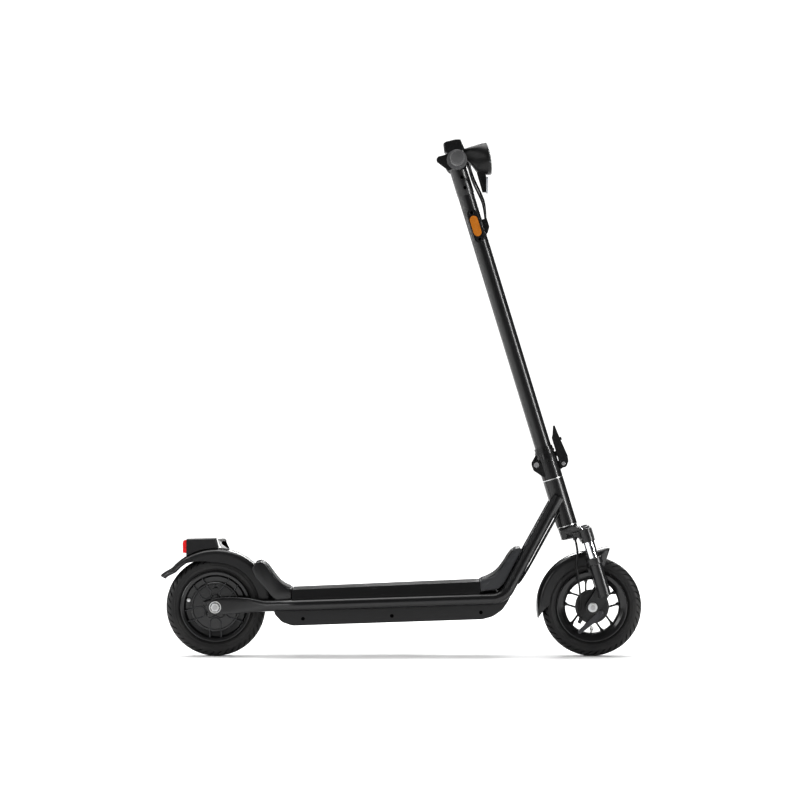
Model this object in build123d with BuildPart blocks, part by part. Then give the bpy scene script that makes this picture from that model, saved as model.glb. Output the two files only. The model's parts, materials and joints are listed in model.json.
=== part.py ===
from build123d import *
from math import atan2, cos, degrees, pi, radians, sin
import os

os.makedirs("parts", exist_ok=True)

# Electric kick scooter, millimetres. +X forward, +Z up, +Y the rider's left.
# The origin is on the floor, under the middle of the scooter's length and width.

# Overall layout
wheel_radius = 120.0
rear_axle_x = -448.0
front_axle_x = 461.0
steering_tilt = 17.0            # degrees back from vertical, through the front axle
deck_half_width = 78.0
bar_length = 540.0
running_gap = 0.05              # radial clearance of shafts and sliding tubes
parting_gap = 0.3               # clearance between pieces that move past each other

# Wheels
tyre_half_width = 28.0
rim_lip_radius = 85.0
rim_half_width = 24.0
front_rim_opening = 64.0
spoke_pairs = 5
spoke_spacing = 29.0
spoke_width = 5.5
hub_radius = 25.0
drum_radius = 41.0
drum_bore = 36.0
motor_shell_radius = 67.0
motor_cover_radius = 60.0
motor_half_width = 29.0
motor_rib_spacing = 27.0
axle_radius = 6.0
bearing_radius = 14.0
bearing_width = 8.0

# Steering column, heights measured along the steering axis from the front axle
crown_bottom = 172.0
head_bottom = 205.0
head_top = 321.0
cup_flange = 2.0
head_radius = 25.0
head_bore = 20.0
cup_depth = 12.0
cup_bore = 17.0
steerer_radius = 15.0
fold_seam = 366.0
fold_pin_offset = -28.5         # behind the steering axis
fold_pin_radius = 4.5
fold_knuckle_radius = 10.6
fold_knuckle_half = 8.7
latch_pin_offset = 35.5         # in front of the steering axis
latch_pin_height = 350.0
latch_pin_radius = 3.0
stem_radius = 20.0
stem_bore = 17.5
stem_top = 1100.0
bar_height = 1122.7
bar_radius = 12.5

# Fork
leg_offset = 36.5               # leg axis in front of the steering axis
leg_half_spread = 52.0
stanchion_radius = 13.5
lower_radius = 15.75
lower_bottom = 17.0
lower_top = 111.0
collar_length = 14.0
collar_radius = 17.2
stanchion_bottom = 56.0
stanchion_top = 186.0
boss_bottom = 154.0
boss_radius = 16.5

# Fenders
fender_half_width = 34.5
fender_wall = 2.5
front_fender_radius = 135.0
rear_fender_radius = 141.0

# Deck
rail_radius = 14.0
rail_wall = 2.0
rail_half_spread = 72.0
rail_slope = 1.83               # degrees nose-up
rail_corner_x = 246.0
dropout_half_gap = 47.0
dropout_thickness = 8.0
hull_half_width = 68.0
hull_wall = 3.0
plate_thickness = 6.0
mat_thickness = 4.0

# Cables
brake_cable_radius = 2.5
harness_radius = 3.0

tilt = radians(steering_tilt)
forward = (cos(tilt), 0, sin(tilt))
upward = (-sin(tilt), 0, cos(tilt))
front_axle_point = Vector(front_axle_x, 0, wheel_radius)
rear_axle_point = Vector(rear_axle_x, 0, wheel_radius)
across = (0, -1, 0)

# Column plane: local X forward, local Y to the left, local Z up the steering axis.
column = Plane(origin=front_axle_point, x_dir=forward, z_dir=upward)
# Column side view: local X forward, local Y up the steering axis, normal to the right.
column_side = Plane(origin=front_axle_point, x_dir=forward, z_dir=across)
side = Plane.XZ
front_wheel_side = Plane(origin=front_axle_point, x_dir=(1, 0, 0), z_dir=across)
rear_wheel_side = Plane(origin=rear_axle_point, x_dir=(1, 0, 0), z_dir=across)
front_wheel_axis = Axis(front_axle_point, across)
rear_wheel_axis = Axis(rear_axle_point, across)


def at_right(plane, y):
    """The side-view plane moved to the given Y."""
    return plane.offset(-y)


def column_point(p, s, y=0.0):
    """A point p in front of the steering axis, s up it and y to the left."""
    return column.from_local_coords(Vector(p, y, s))


def wheel_section(axle_point, angle=90.0):
    """Section through a wheel: local X to the left, local Y outward at the angle above forward."""
    turn = radians(angle)
    return Plane(origin=axle_point, x_dir=(0, 1, 0), z_dir=(sin(turn), 0, -cos(turn)))


def round_wheel(radius, angle):
    """A side-view point at the given radius and angle round a wheel's axle."""
    return (radius * cos(radians(angle)), radius * sin(radians(angle)))


def leg_plane(s, y):
    """The column plane at height s, centred on the fork leg at the given Y."""
    return Plane(origin=column_point(leg_offset, s, y), x_dir=forward, z_dir=upward)


def cord_radii(points):
    """Corner radii of a cord's path: 0.45 of the shorter run over the tangent of half the turn."""
    radii = []
    for before, corner, after in zip(points, points[1:], points[2:]):
        first = Vector(corner) - Vector(before)
        second = Vector(after) - Vector(corner)
        half_turn = radians(first.get_angle(second)) / 2
        radii.append(0.45 * min(first.length, second.length) * cos(half_turn) / sin(half_turn))
    return radii


def finish_piece(builder, name):
    builder.part.label = name
    export_step(builder.part, f"parts/{name}.step")


# ---------------------------------------------------------------- rails
rail_drop = radians(rail_slope)


def rail_height(x):
    """Height of the side rail's centre line at x."""
    return wheel_radius + (x - rear_axle_x) * sin(rail_drop) / cos(rail_drop)


diagonal_angle = radians(28.7)
rail_corner = Vector(rail_corner_x, rail_half_spread, rail_height(rail_corner_x))
diagonal_length = 276.0
diagonal_top = Vector(
    rail_corner_x + diagonal_length * sin(diagonal_angle),
    head_radius + 7.0,
    rail_corner.Z + diagonal_length * cos(diagonal_angle),
)
rail_radii = [70.0, 45.0]       # at the flare behind the deck and at the foot of the diagonal
arm_x = rear_axle_x + 118.0
arm_y = dropout_half_gap + dropout_thickness / 2 + 4.0
rail_start = Vector(arm_x, arm_y, rail_height(arm_x))
rail_flare = Vector(rear_axle_x + 190.0, rail_half_spread, rail_height(rear_axle_x + 190.0))


# Wiring harness route: out of the right rail, up its front and into the head tube
diagonal_start = Vector(rail_corner.X, -rail_corner.Y, rail_corner.Z)
diagonal_end = Vector(diagonal_top.X, -diagonal_top.Y, diagonal_top.Z)
diagonal_front = Vector(cos(diagonal_angle), 0, -sin(diagonal_angle))
harness_stand = rail_radius + harness_radius + 1.0


def beside_diagonal(along, distance):
    """A point in front of the right diagonal rail, at a share of its length."""
    return diagonal_start + (diagonal_end - diagonal_start) * along + diagonal_front * distance


harness_points = [
    beside_diagonal(0.175, rail_radius - 1.0),
    beside_diagonal(0.225, harness_stand),
    beside_diagonal(0.70, harness_stand),
    Vector(381.0, -20.0, 347.0),
]


def rail_points(hand):
    """Corners of a side rail's centre line; hand is +1 left, -1 right."""
    return [Vector(v.X, hand * v.Y, v.Z) for v in (rail_start, rail_flare, rail_corner, diagonal_top)]


def make_rail(hand):
    """One welded side rail: diagonal, side rail and rear dropout arm. hand is +1 left, -1 right."""
    points = rail_points(hand)
    with BuildPart() as rail:
        with BuildLine() as centre_line:
            FilletPolyline(*points, radius=rail_radii)
        with BuildSketch(Plane(origin=centre_line.line @ 0, z_dir=centre_line.line % 0)):
            Circle(rail_radius)
            Circle(rail_radius - rail_wall, mode=Mode.SUBTRACT)
        sweep()
        # Forged dropout arm: a tapered plate from the tube's end round the axle.
        with BuildSketch(at_right(rear_wheel_side, hand * (dropout_half_gap + dropout_thickness / 2))):
            with BuildLine():
                Polyline(
                    (0, 19.0),
                    (100.0, rail_start.Z - wheel_radius + 13.0),
                    (125.0, rail_start.Z - wheel_radius + 11.0),
                    (125.0, rail_start.Z - wheel_radius - 11.0),
                    (100.0, rail_start.Z - wheel_radius - 13.0),
                    (0, -19.0),
                )
                ThreePointArc((0, -19.0), (-19.0, 0), (0, 19.0))
            make_face()
            Circle(axle_radius + running_gap, mode=Mode.SUBTRACT)
        extrude(amount=dropout_thickness / 2, both=True)
        # Cone that closes the tube's end onto the plate
        with BuildSketch(Plane(origin=points[0], z_dir=(points[0] - points[1]).normalized())):
            Circle(rail_radius)
        extrude(amount=9.0, taper=28.0)
        # Cleared for the head tube that its top end is welded to
        with BuildSketch(column.offset(head_bottom - 30.0)):
            Circle(head_radius)
        extrude(amount=head_top - head_bottom + 60.0, mode=Mode.SUBTRACT)
        if hand < 0:
            with BuildSketch(Plane(origin=harness_points[0], z_dir=harness_points[1] - harness_points[0])):
                Circle(harness_radius + parting_gap)
            extrude(amount=12.0, both=True, mode=Mode.SUBTRACT)
    return rail


for rail_name, rail_hand in (("rail_right", -1), ("rail_left", 1)):
    finish_piece(make_rail(rail_hand), rail_name)

# ---------------------------------------------------------------- head tube and headset
with BuildPart() as head_tube:
    with BuildSketch(column.offset(head_bottom)):
        Circle(head_radius)
        Circle(head_bore, mode=Mode.SUBTRACT)
    extrude(amount=head_top - head_bottom)
    with BuildSketch(column.offset(head_bottom + cup_depth + 2.0)):
        Circle(head_bore + 0.5)
        Circle(cup_bore + 1.0, mode=Mode.SUBTRACT)
    extrude(amount=3.0)
    with BuildSketch(Plane(origin=harness_points[3], z_dir=harness_points[3] - harness_points[2])):
        Circle(harness_radius + parting_gap)
    extrude(amount=14.0, both=True, mode=Mode.SUBTRACT)
finish_piece(head_tube, "head_tube")

with BuildPart() as headset_cups:
    for flange_start, sleeve_start in (
        (head_bottom - cup_flange, head_bottom),
        (head_top, head_top - cup_depth),
    ):
        with BuildSketch(column.offset(flange_start)):
            Circle(head_radius)
            Circle(cup_bore, mode=Mode.SUBTRACT)
        extrude(amount=cup_flange)
        with BuildSketch(column.offset(sleeve_start)):
            Circle(head_bore)
            Circle(cup_bore, mode=Mode.SUBTRACT)
        extrude(amount=cup_depth)
finish_piece(headset_cups, "headset_cups")

with BuildPart() as headset_bearings:
    for bearing_start in (head_bottom + 1.0, head_top - cup_depth + 1.0):
        with BuildSketch(column.offset(bearing_start)):
            Circle(cup_bore - running_gap)
            Circle(steerer_radius, mode=Mode.SUBTRACT)
        extrude(amount=cup_depth - 2.0)
finish_piece(headset_bearings, "headset_bearings")

with BuildPart() as steerer_tube:
    with BuildSketch(column.offset(crown_bottom + 6.0)):
        Circle(steerer_radius)
        Circle(steerer_radius - 3.0, mode=Mode.SUBTRACT)
    extrude(amount=head_top + 16.0 - crown_bottom - 6.0)
finish_piece(steerer_tube, "steerer_tube")

# ---------------------------------------------------------------- fork crown and stanchions
crown_hub_top = head_bottom - cup_flange - parting_gap
cable_port_p = 8.0
cable_port_y = -45.0
with BuildPart() as fork_crown:
    with BuildSketch(column.offset(crown_bottom)):
        with Locations((0, 0)):
            Circle(21.0)
        for leg_y in (-leg_half_spread, leg_half_spread):
            with Locations((leg_offset, leg_y), (12.0, leg_y * 0.88)):
                Circle(9.0)
        make_hull()
    extrude(amount=14.0)
    fillet(fork_crown.edges().group_by(SortBy.LENGTH)[-1], radius=3.0)
    with BuildSketch(column.offset(crown_bottom + 2.0)):
        Circle(23.0)
    extrude(amount=crown_hub_top - crown_bottom - 2.0, taper=-1.0)
    for leg_y in (-leg_half_spread, leg_half_spread):
        with BuildSketch(leg_plane(boss_bottom, leg_y)):
            Circle(boss_radius)
        extrude(amount=stanchion_top - boss_bottom)
    with BuildSketch(column.offset(crown_bottom - 5.0)):
        with Locations((cable_port_p, cable_port_y)):
            Circle(brake_cable_radius + 2.5)
    extrude(amount=6.0)
    # Bores for the steerer, the stanchions and the brake cable
    with BuildSketch(column.offset(crown_bottom + 6.0)):
        Circle(steerer_radius)
    extrude(amount=60.0, mode=Mode.SUBTRACT)
    for leg_y in (-leg_half_spread, leg_half_spread):
        with BuildSketch(leg_plane(boss_bottom, leg_y)):
            Circle(stanchion_radius)
        extrude(amount=60.0, mode=Mode.SUBTRACT)
    with BuildSketch(column.offset(crown_bottom - 5.0)):
        with Locations((cable_port_p, cable_port_y)):
            Circle(brake_cable_radius + parting_gap)
    extrude(amount=13.0, mode=Mode.SUBTRACT)
finish_piece(fork_crown, "fork_crown")

with BuildPart() as stanchions:
    for leg_y in (-leg_half_spread, leg_half_spread):
        with BuildSketch(leg_plane(stanchion_bottom, leg_y)):
            Circle(stanchion_radius)
            Circle(stanchion_radius - 2.5, mode=Mode.SUBTRACT)
        extrude(amount=stanchion_top - stanchion_bottom)
        with BuildSketch(leg_plane(stanchion_top - 8.0, leg_y)):
            Circle(stanchion_radius - 2.5)
        extrude(amount=8.0)
        with BuildSketch(leg_plane(stanchion_top, leg_y)):
            Circle(stanchion_radius - 1.0)
        extrude(amount=4.0, taper=25.0)
finish_piece(stanchions, "stanchions")

# ---------------------------------------------------------------- fork lowers
axle_plate_thickness = 8.0


def make_fork_lower(y):
    with BuildPart() as lower:
        with BuildSketch(leg_plane(lower_bottom, y)):
            Circle(lower_radius)
        extrude(amount=lower_top - lower_bottom)
        with BuildSketch(leg_plane(lower_top - collar_length, y)):
            Circle(collar_radius)
        extrude(amount=collar_length)
        chamfer(lower.edges().group_by(SortBy.LENGTH)[-1], length=0.8)
        # Axle plate: from the leg's foot back and down round the axle
        with BuildSketch(at_right(column_side, y)):
            with BuildLine():
                Polyline(
                    (-12.0, 12.0),
                    (leg_offset - 15.0, 40.0),
                    (leg_offset + 12.0, 30.0),
                    (leg_offset + 12.0, lower_bottom),
                    (12.0, -12.0),
                )
                ThreePointArc((12.0, -12.0), (-12.0, -12.0), (-12.0, 12.0))
            make_face()
        extrude(amount=axle_plate_thickness / 2, both=True)
        with BuildSketch(leg_plane(lower_bottom + 5.0, y)):
            Circle(stanchion_radius + running_gap)
        extrude(amount=lower_top, mode=Mode.SUBTRACT)
        with BuildSketch(at_right(front_wheel_side, y)):
            Circle(axle_radius)
        extrude(amount=20.0, both=True, mode=Mode.SUBTRACT)
        with BuildSketch(leg_plane(lower_top - 6.0, y)):
            with Locations((collar_radius, 0)):
                Rectangle(5.0, 7.0)
            Circle(stanchion_radius + 1.0, mode=Mode.SUBTRACT)
        extrude(amount=-7.0)
    return lower


for lower_name, lower_y in (("fork_lower_right", -leg_half_spread), ("fork_lower_left", leg_half_spread)):
    finish_piece(make_fork_lower(lower_y), lower_name)

spring_bottom = lower_bottom + 5.0
spring_wire = 1.3
with BuildPart() as fork_springs:
    for spring_y in (-leg_half_spread, leg_half_spread):
        foot = leg_plane(spring_bottom + spring_wire, spring_y)
        with BuildLine():
            coil = Helix(
                pitch=(stanchion_bottom - spring_bottom - 2 * spring_wire) / 6,
                height=stanchion_bottom - spring_bottom - 2 * spring_wire,
                radius=9.5,
                center=foot.origin,
                direction=foot.z_dir,
            )
        with BuildSketch(Plane(origin=coil @ 0, z_dir=coil % 0)):
            Circle(spring_wire)
        sweep(path=coil, is_frenet=True)
finish_piece(fork_springs, "fork_springs")

# ---------------------------------------------------------------- front axle and brake
with BuildPart() as front_axle:
    with BuildSketch(front_wheel_side):
        Circle(axle_radius)
    extrude(amount=leg_half_spread + 17.0, both=True)
finish_piece(front_axle, "front_axle")

with BuildPart() as front_axle_nuts:
    for nut_hand in (-1, 1):
        nut_face = nut_hand * (leg_half_spread + axle_plate_thickness / 2)
        with BuildSketch(at_right(front_wheel_side, nut_face)):
            Circle(11.5)
            Circle(axle_radius, mode=Mode.SUBTRACT)
        extrude(amount=-nut_hand * 2.0)
        with BuildSketch(at_right(front_wheel_side, nut_face + nut_hand * 2.0)):
            RegularPolygon(radius=9.5, side_count=6, major_radius=False)
            Circle(axle_radius, mode=Mode.SUBTRACT)
        extrude(amount=-nut_hand * 9.0)
finish_piece(front_axle_nuts, "front_axle_nuts")

cam_x = 20.8
cam_z = -16.4
plate_y = -31.0
plate_thick = 4.0
cam_radius = 4.0
stop_x = -28.2                  # cable stop on the plate, from the axle
stop_z = -28.6
stop_lean = 28.0
with BuildPart() as brake_plate:
    with BuildSketch(at_right(front_wheel_side, plate_y + plate_thick)):
        Circle(37.5)
    extrude(amount=plate_thick)
    with BuildSketch(at_right(front_wheel_side, plate_y)):
        Circle(13.0)
        with Locations((cam_x, cam_z)):
            Circle(8.0)
    extrude(amount=2.5)
    # Spacer hub that stands on the fork's axle plate
    with BuildSketch(at_right(front_wheel_side, plate_y)):
        Circle(10.0)
    extrude(amount=leg_half_spread - axle_plate_thickness / 2 + plate_y)
    # Cable stop: a tab on the plate and a post that stays above the arm's swing
    with BuildSketch(at_right(front_wheel_side, plate_y)):
        with Locations(Location((stop_x + 1.2, stop_z - 1.4), -stop_lean)):
            Rectangle(9.0, 22.0)
    extrude(amount=-plate_thick)
    with BuildSketch(at_right(front_wheel_side, plate_y)):
        with Locations(Location((stop_x, stop_z), -stop_lean)):
            Rectangle(9.0, 6.0)
    extrude(amount=17.0)
    with BuildSketch(at_right(front_wheel_side, plate_y + plate_thick)):
        Circle(axle_radius)
        with Locations((cam_x, cam_z)):
            Circle(cam_radius + running_gap)
    extrude(amount=60.0, mode=Mode.SUBTRACT)
finish_piece(brake_plate, "brake_plate")

with BuildPart() as brake_shoes:
    with BuildSketch(at_right(front_wheel_side, plate_y + plate_thick + 1.0)):
        Circle(drum_bore - 1.0)
        Circle(drum_bore - 9.0, mode=Mode.SUBTRACT)
        with Locations(Location((0, 0), degrees(atan2(cam_z, cam_x)))):
            Rectangle(90.0, 16.0, mode=Mode.SUBTRACT)
    extrude(amount=-13.0)
finish_piece(brake_shoes, "brake_shoes")

arm_end_x = -29.9
arm_end_z = -60.0
arm_y0 = plate_y - 2.5 - parting_gap
with BuildPart() as brake_arm:
    with BuildSketch(at_right(front_wheel_side, arm_y0)):
        with Locations((cam_x, cam_z)):
            Circle(8.0)
        with Locations((arm_end_x, arm_end_z)):
            Circle(5.0)
        make_hull()
    extrude(amount=3.0)
    with BuildSketch(at_right(front_wheel_side, arm_y0 + 16.0)):
        with Locations((cam_x, cam_z)):
            Circle(cam_radius)
    extrude(amount=19.0 + 3.0)
    with BuildSketch(at_right(front_wheel_side, arm_y0 - 3.0)):
        with Locations((arm_end_x, arm_end_z)):
            Circle(3.5)
    extrude(amount=9.0)
finish_piece(brake_arm, "brake_arm")

# Front brake cable: out of the crown, down behind the right leg to the stop on the brake plate
cable_top = column_point(cable_port_p, crown_bottom + 6.0, cable_port_y)
brake_cable_points = [
    cable_top,
    column_point(cable_port_p, crown_bottom - 30.0, cable_port_y),
    Vector(421.5, -45.5, 222.0),
    Vector(428.0, -45.0, 182.0),
    Vector(431.5, -44.5, 150.0),
    Vector(432.0, -43.7, 121.0),
    Vector(front_axle_x + stop_x - 2.1, -42.5, wheel_radius + stop_z + 5.1),
]
brake_cable_radii = cord_radii(brake_cable_points)
with BuildPart() as brake_cable_lower:
    with BuildLine() as cable_path:
        FilletPolyline(*brake_cable_points, radius=brake_cable_radii)
    with BuildSketch(Plane(origin=cable_path.line @ 0, z_dir=cable_path.line % 0)):
        Circle(brake_cable_radius)
    sweep()
print("brake cable radii", [round(r) for r in brake_cable_radii], "length", round(cable_path.wire().length))
print("tube check", round(brake_cable_lower.part.volume / (pi * brake_cable_radius**2 * cable_path.wire().length), 4))
finish_piece(brake_cable_lower, "brake_cable_lower")

# ---------------------------------------------------------------- fenders
shoulder_radius = 14.0


def fender_profile(plane, top, skirt):
    """Channel section of a fender: crown at radius top, side skirts down to radius skirt."""
    outer = fender_half_width
    inner = fender_half_width - fender_wall
    with BuildSketch(plane) as profile:
        with BuildLine():
            FilletPolyline((-outer, skirt), (-outer, top), (outer, top), (outer, skirt), radius=shoulder_radius)
            Line((outer, skirt), (inner, skirt))
            FilletPolyline(
                (inner, skirt),
                (inner, top - fender_wall),
                (-inner, top - fender_wall),
                (-inner, skirt),
                radius=shoulder_radius - fender_wall,
            )
            Line((-inner, skirt), (-outer, skirt))
        make_face()
    return profile.sketch


front_fender_from = 73.0
front_fender_to = 192.0
front_skirt = 103.0
with BuildPart() as front_fender:
    revolve(
        fender_profile(wheel_section(front_axle_point, front_fender_from), front_fender_radius, front_skirt),
        axis=front_wheel_axis,
        revolution_arc=front_fender_to - front_fender_from,
    )
    # Upturned front lip
    with BuildSketch(front_wheel_side):
        Polygon(
            round_wheel(front_fender_radius - 0.5, 90.0),
            round_wheel(front_fender_radius + 17.5, 73.2),
            round_wheel(front_fender_radius + 14.0, 72.2),
            round_wheel(front_fender_radius - fender_wall, 84.0),
            align=None,
        )
    extrude(amount=22.0, both=True)
    # Swept rear corner of the skirts
    with BuildSketch(front_wheel_side):
        Polygon(
            round_wheel(90.0, 170.0),
            round_wheel(front_skirt + 1.0, 178.0),
            round_wheel(front_fender_radius - 4.0, 193.0),
            round_wheel(front_fender_radius - 4.0, 200.0),
            round_wheel(90.0, 200.0),
            align=None,
        )
    extrude(amount=60.0, both=True, mode=Mode.SUBTRACT)
    # Ears that bolt to the fork lowers
    for ear_y in (-fender_half_width, fender_half_width):
        ear_hand = 1 if ear_y > 0 else -1
        ear_gap = leg_half_spread - lower_radius - fender_half_width
        with BuildSketch(at_right(column_side, ear_y)):
            with Locations((leg_offset, 82.0)):
                Rectangle(18.0, 26.0)
        extrude(amount=-ear_hand * (ear_gap + 1.5))
        with BuildSketch(at_right(column_side, ear_y)):
            with Locations((leg_offset - 14.0, 86.0)):
                Rectangle(14.0, 14.0)
        extrude(amount=-ear_hand * ear_gap)
    for leg_y in (-leg_half_spread, leg_half_spread):
        with BuildSketch(leg_plane(lower_bottom, leg_y)):
            Circle(lower_radius)
        extrude(amount=lower_top - lower_bottom, mode=Mode.SUBTRACT)
finish_piece(front_fender, "front_fender")

rear_fender_from = 50.0
rear_fender_to = 151.0
rear_skirt = 103.0
with BuildPart() as rear_fender:
    revolve(
        fender_profile(wheel_section(rear_axle_point, rear_fender_from), rear_fender_radius, rear_skirt),
        axis=rear_wheel_axis,
        revolution_arc=rear_fender_to - rear_fender_from,
    )
    # Skirts that get shallower towards the tail
    with BuildSketch(rear_wheel_side):
        with Locations((-33.0, -24.0)):
            Circle(134.0)
    extrude(amount=60.0, both=True, mode=Mode.SUBTRACT)
    # Flared tail lip
    with BuildSketch(rear_wheel_side):
        Polygon(
            round_wheel(rear_fender_radius - 0.5, 139.0),
            round_wheel(rear_fender_radius + 12.6, 150.0),
            round_wheel(rear_fender_radius + 9.4, 151.0),
            round_wheel(rear_fender_radius - fender_wall, 144.0),
            align=None,
        )
    extrude(amount=22.0, both=True)
finish_piece(rear_fender, "rear_fender")

# ---------------------------------------------------------------- tyres and rims
bead_radius = 82.0
tread_grooves = (-15.0, -5.0, 5.0, 15.0)


def make_tyre(axle_point, axis):
    half = tyre_half_width
    with BuildPart() as tyre:
        with BuildSketch(wheel_section(axle_point)):
            with BuildLine():
                Line((-21.0, bead_radius), (-21.0, bead_radius + 4.0))
                ThreePointArc((-21.0, bead_radius + 4.0), (-half, bead_radius + 19.0), (-20.0, wheel_radius - 6.0))
                ThreePointArc((-20.0, wheel_radius - 6.0), (0, wheel_radius), (20.0, wheel_radius - 6.0))
                ThreePointArc((20.0, wheel_radius - 6.0), (half, bead_radius + 19.0), (21.0, bead_radius + 4.0))
                Line((21.0, bead_radius + 4.0), (21.0, bead_radius))
                Line((21.0, bead_radius), (15.0, bead_radius))
                ThreePointArc((15.0, bead_radius), (half - 5.0, bead_radius + 17.0), (15.0, wheel_radius - 9.0))
                Line((15.0, wheel_radius - 9.0), (-15.0, wheel_radius - 9.0))
                ThreePointArc((-15.0, wheel_radius - 9.0), (5.0 - half, bead_radius + 17.0), (-15.0, bead_radius))
                Line((-15.0, bead_radius), (-21.0, bead_radius))
            make_face()
            for groove in tread_grooves:
                with Locations((groove, wheel_radius)):
                    Rectangle(2.4, 7.0, mode=Mode.SUBTRACT)
        revolve(axis=axis)
    return tyre


finish_piece(make_tyre(front_axle_point, front_wheel_axis), "front_tyre")
finish_piece(make_tyre(rear_axle_point, rear_wheel_axis), "rear_tyre")


def rim_profile(axle_point, opening):
    """Rim section: lips, bead seats and well outside, a plain opening inside."""
    half = rim_half_width
    with BuildSketch(wheel_section(axle_point)) as profile:
        Polygon(
            (-half, rim_lip_radius),
            (-half, rim_lip_radius - 11.0),
            (-half + 6.0, opening),
            (half - 6.0, opening),
            (half, rim_lip_radius - 11.0),
            (half, rim_lip_radius),
            (half - 3.0, rim_lip_radius),
            (half - 3.0, bead_radius),
            (half - 9.0, bead_radius),
            (half - 12.0, bead_radius - 6.0),
            (-half + 12.0, bead_radius - 6.0),
            (-half + 9.0, bead_radius),
            (-half + 3.0, bead_radius),
            (-half + 3.0, rim_lip_radius),
            align=None,
        )
    return profile.sketch


hub_left = 27.0
hub_right = -4.0
drum_mouth = plate_y + plate_thick + 1.0
with BuildPart() as front_rim:
    revolve(rim_profile(front_axle_point, front_rim_opening), axis=front_wheel_axis)
    # Hub shell that opens into the brake drum on the right
    with BuildSketch(wheel_section(front_axle_point)):
        Polygon(
            (hub_left, bearing_radius),
            (hub_left, hub_radius),
            (hub_right, hub_radius + 3.0),
            (hub_right, drum_radius),
            (drum_mouth, drum_radius),
            (drum_mouth, drum_bore),
            (hub_right - 5.0, drum_bore),
            (hub_right - 5.0, bearing_radius),
            align=None,
        )
    revolve(axis=front_wheel_axis)
    with BuildSketch(front_wheel_side):
        with PolarLocations(0, spoke_pairs, start_angle=90.0):
            with Locations((54.0 - 2.0, spoke_spacing / 2), (54.0 - 2.0, -spoke_spacing / 2)):
                Rectangle(40.0, spoke_width)
        Circle(hub_radius - 2.0, mode=Mode.SUBTRACT)
    extrude(amount=9.0, both=True)
    # Tyre valve through the well
    with BuildSketch(Plane(origin=front_axle_point, z_dir=(0, 0, -1)).offset(front_rim_opening - 16.0)):
        Circle(3.0)
    extrude(amount=20.0)
finish_piece(front_rim, "front_rim")

with BuildPart() as front_bearings:
    for bearing_y in (hub_left - bearing_width - 1.0, hub_right - 4.0):
        with BuildSketch(at_right(front_wheel_side, bearing_y)):
            Circle(bearing_radius)
            Circle(axle_radius + running_gap, mode=Mode.SUBTRACT)
        extrude(amount=-bearing_width)
finish_piece(front_bearings, "front_bearings")

rib_inner = 27.0
rib_thick = 3.6
with BuildPart() as rear_rim:
    revolve(rim_profile(rear_axle_point, motor_shell_radius), axis=rear_wheel_axis)
    # Motor shell, a ring that the covers close on both sides
    with BuildSketch(wheel_section(rear_axle_point)):
        with Locations((0, motor_shell_radius - 2.5)):
            Rectangle(2 * motor_half_width - 8.0, 9.0)
    revolve(axis=rear_wheel_axis)
    # Tyre valve through the rim's right flank
    with BuildSketch(at_right(rear_wheel_side, -rim_half_width + 8.0)):
        with Locations(round_wheel(73.5, 162.0)):
            Circle(3.0)
    extrude(amount=13.0)
finish_piece(rear_rim, "rear_rim")

with BuildPart() as motor_covers:
    for cover_hand in (-1, 1):
        cover_face = cover_hand * (motor_half_width - 4.0)
        with BuildSketch(at_right(rear_wheel_side, cover_face)):
            Circle(motor_cover_radius + 6.0)
            Circle(axle_radius + running_gap, mode=Mode.SUBTRACT)
        extrude(amount=-cover_hand * 4.0)
        with BuildSketch(at_right(rear_wheel_side, cover_hand * motor_half_width)):
            Circle(motor_cover_radius)
            Circle(motor_cover_radius - 4.0, mode=Mode.SUBTRACT)
            with PolarLocations(0, spoke_pairs, start_angle=-90.0):
                with Locations((motor_cover_radius / 2 + rib_inner / 2, 0)):
                    SlotOverall(motor_cover_radius - rib_inner + 20.0, motor_rib_spacing)
                    SlotOverall(
                        motor_cover_radius - rib_inner + 20.0 - 2 * rib_thick,
                        motor_rib_spacing - 2 * rib_thick,
                        mode=Mode.SUBTRACT,
                    )
            Circle(rib_inner - 9.0)
            Circle(rib_inner - 10.5, mode=Mode.SUBTRACT)
        extrude(amount=-cover_hand * 3.0)
        with BuildSketch(at_right(rear_wheel_side, cover_hand * motor_half_width)):
            Circle(20.0)
            Circle(axle_radius + running_gap, mode=Mode.SUBTRACT)
        extrude(amount=-cover_hand * 4.0)
finish_piece(motor_covers, "motor_covers")

with BuildPart() as motor_stator:
    with BuildSketch(at_right(rear_wheel_side, 12.0)):
        Circle(46.0)
        Circle(axle_radius, mode=Mode.SUBTRACT)
        with PolarLocations(50.0, 18):
            Rectangle(12.0, 7.0)
    extrude(amount=24.0)
finish_piece(motor_stator, "motor_stator")

with BuildPart() as rear_axle:
    with BuildSketch(rear_wheel_side):
        Circle(axle_radius)
    extrude(amount=dropout_half_gap + dropout_thickness + 15.0, both=True)
finish_piece(rear_axle, "rear_axle")

with BuildPart() as rear_axle_nuts:
    for nut_hand in (-1, 1):
        nut_face = nut_hand * (dropout_half_gap + dropout_thickness)
        with BuildSketch(at_right(rear_wheel_side, nut_face)):
            Circle(14.5)
            Circle(axle_radius, mode=Mode.SUBTRACT)
        extrude(amount=-nut_hand * 2.0)
        with BuildSketch(at_right(rear_wheel_side, nut_face + nut_hand * 2.0)):
            RegularPolygon(radius=9.5, side_count=6, major_radius=False)
            Circle(axle_radius, mode=Mode.SUBTRACT)
        extrude(amount=-nut_hand * 9.0)
        with BuildSketch(at_right(rear_wheel_side, nut_hand * (motor_half_width + 4.0 + parting_gap))):
            Circle(10.0)
            Circle(axle_radius, mode=Mode.SUBTRACT)
        extrude(amount=-nut_hand * (dropout_half_gap - motor_half_width - 4.0 - parting_gap))
finish_piece(rear_axle_nuts, "rear_axle_nuts")

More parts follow.
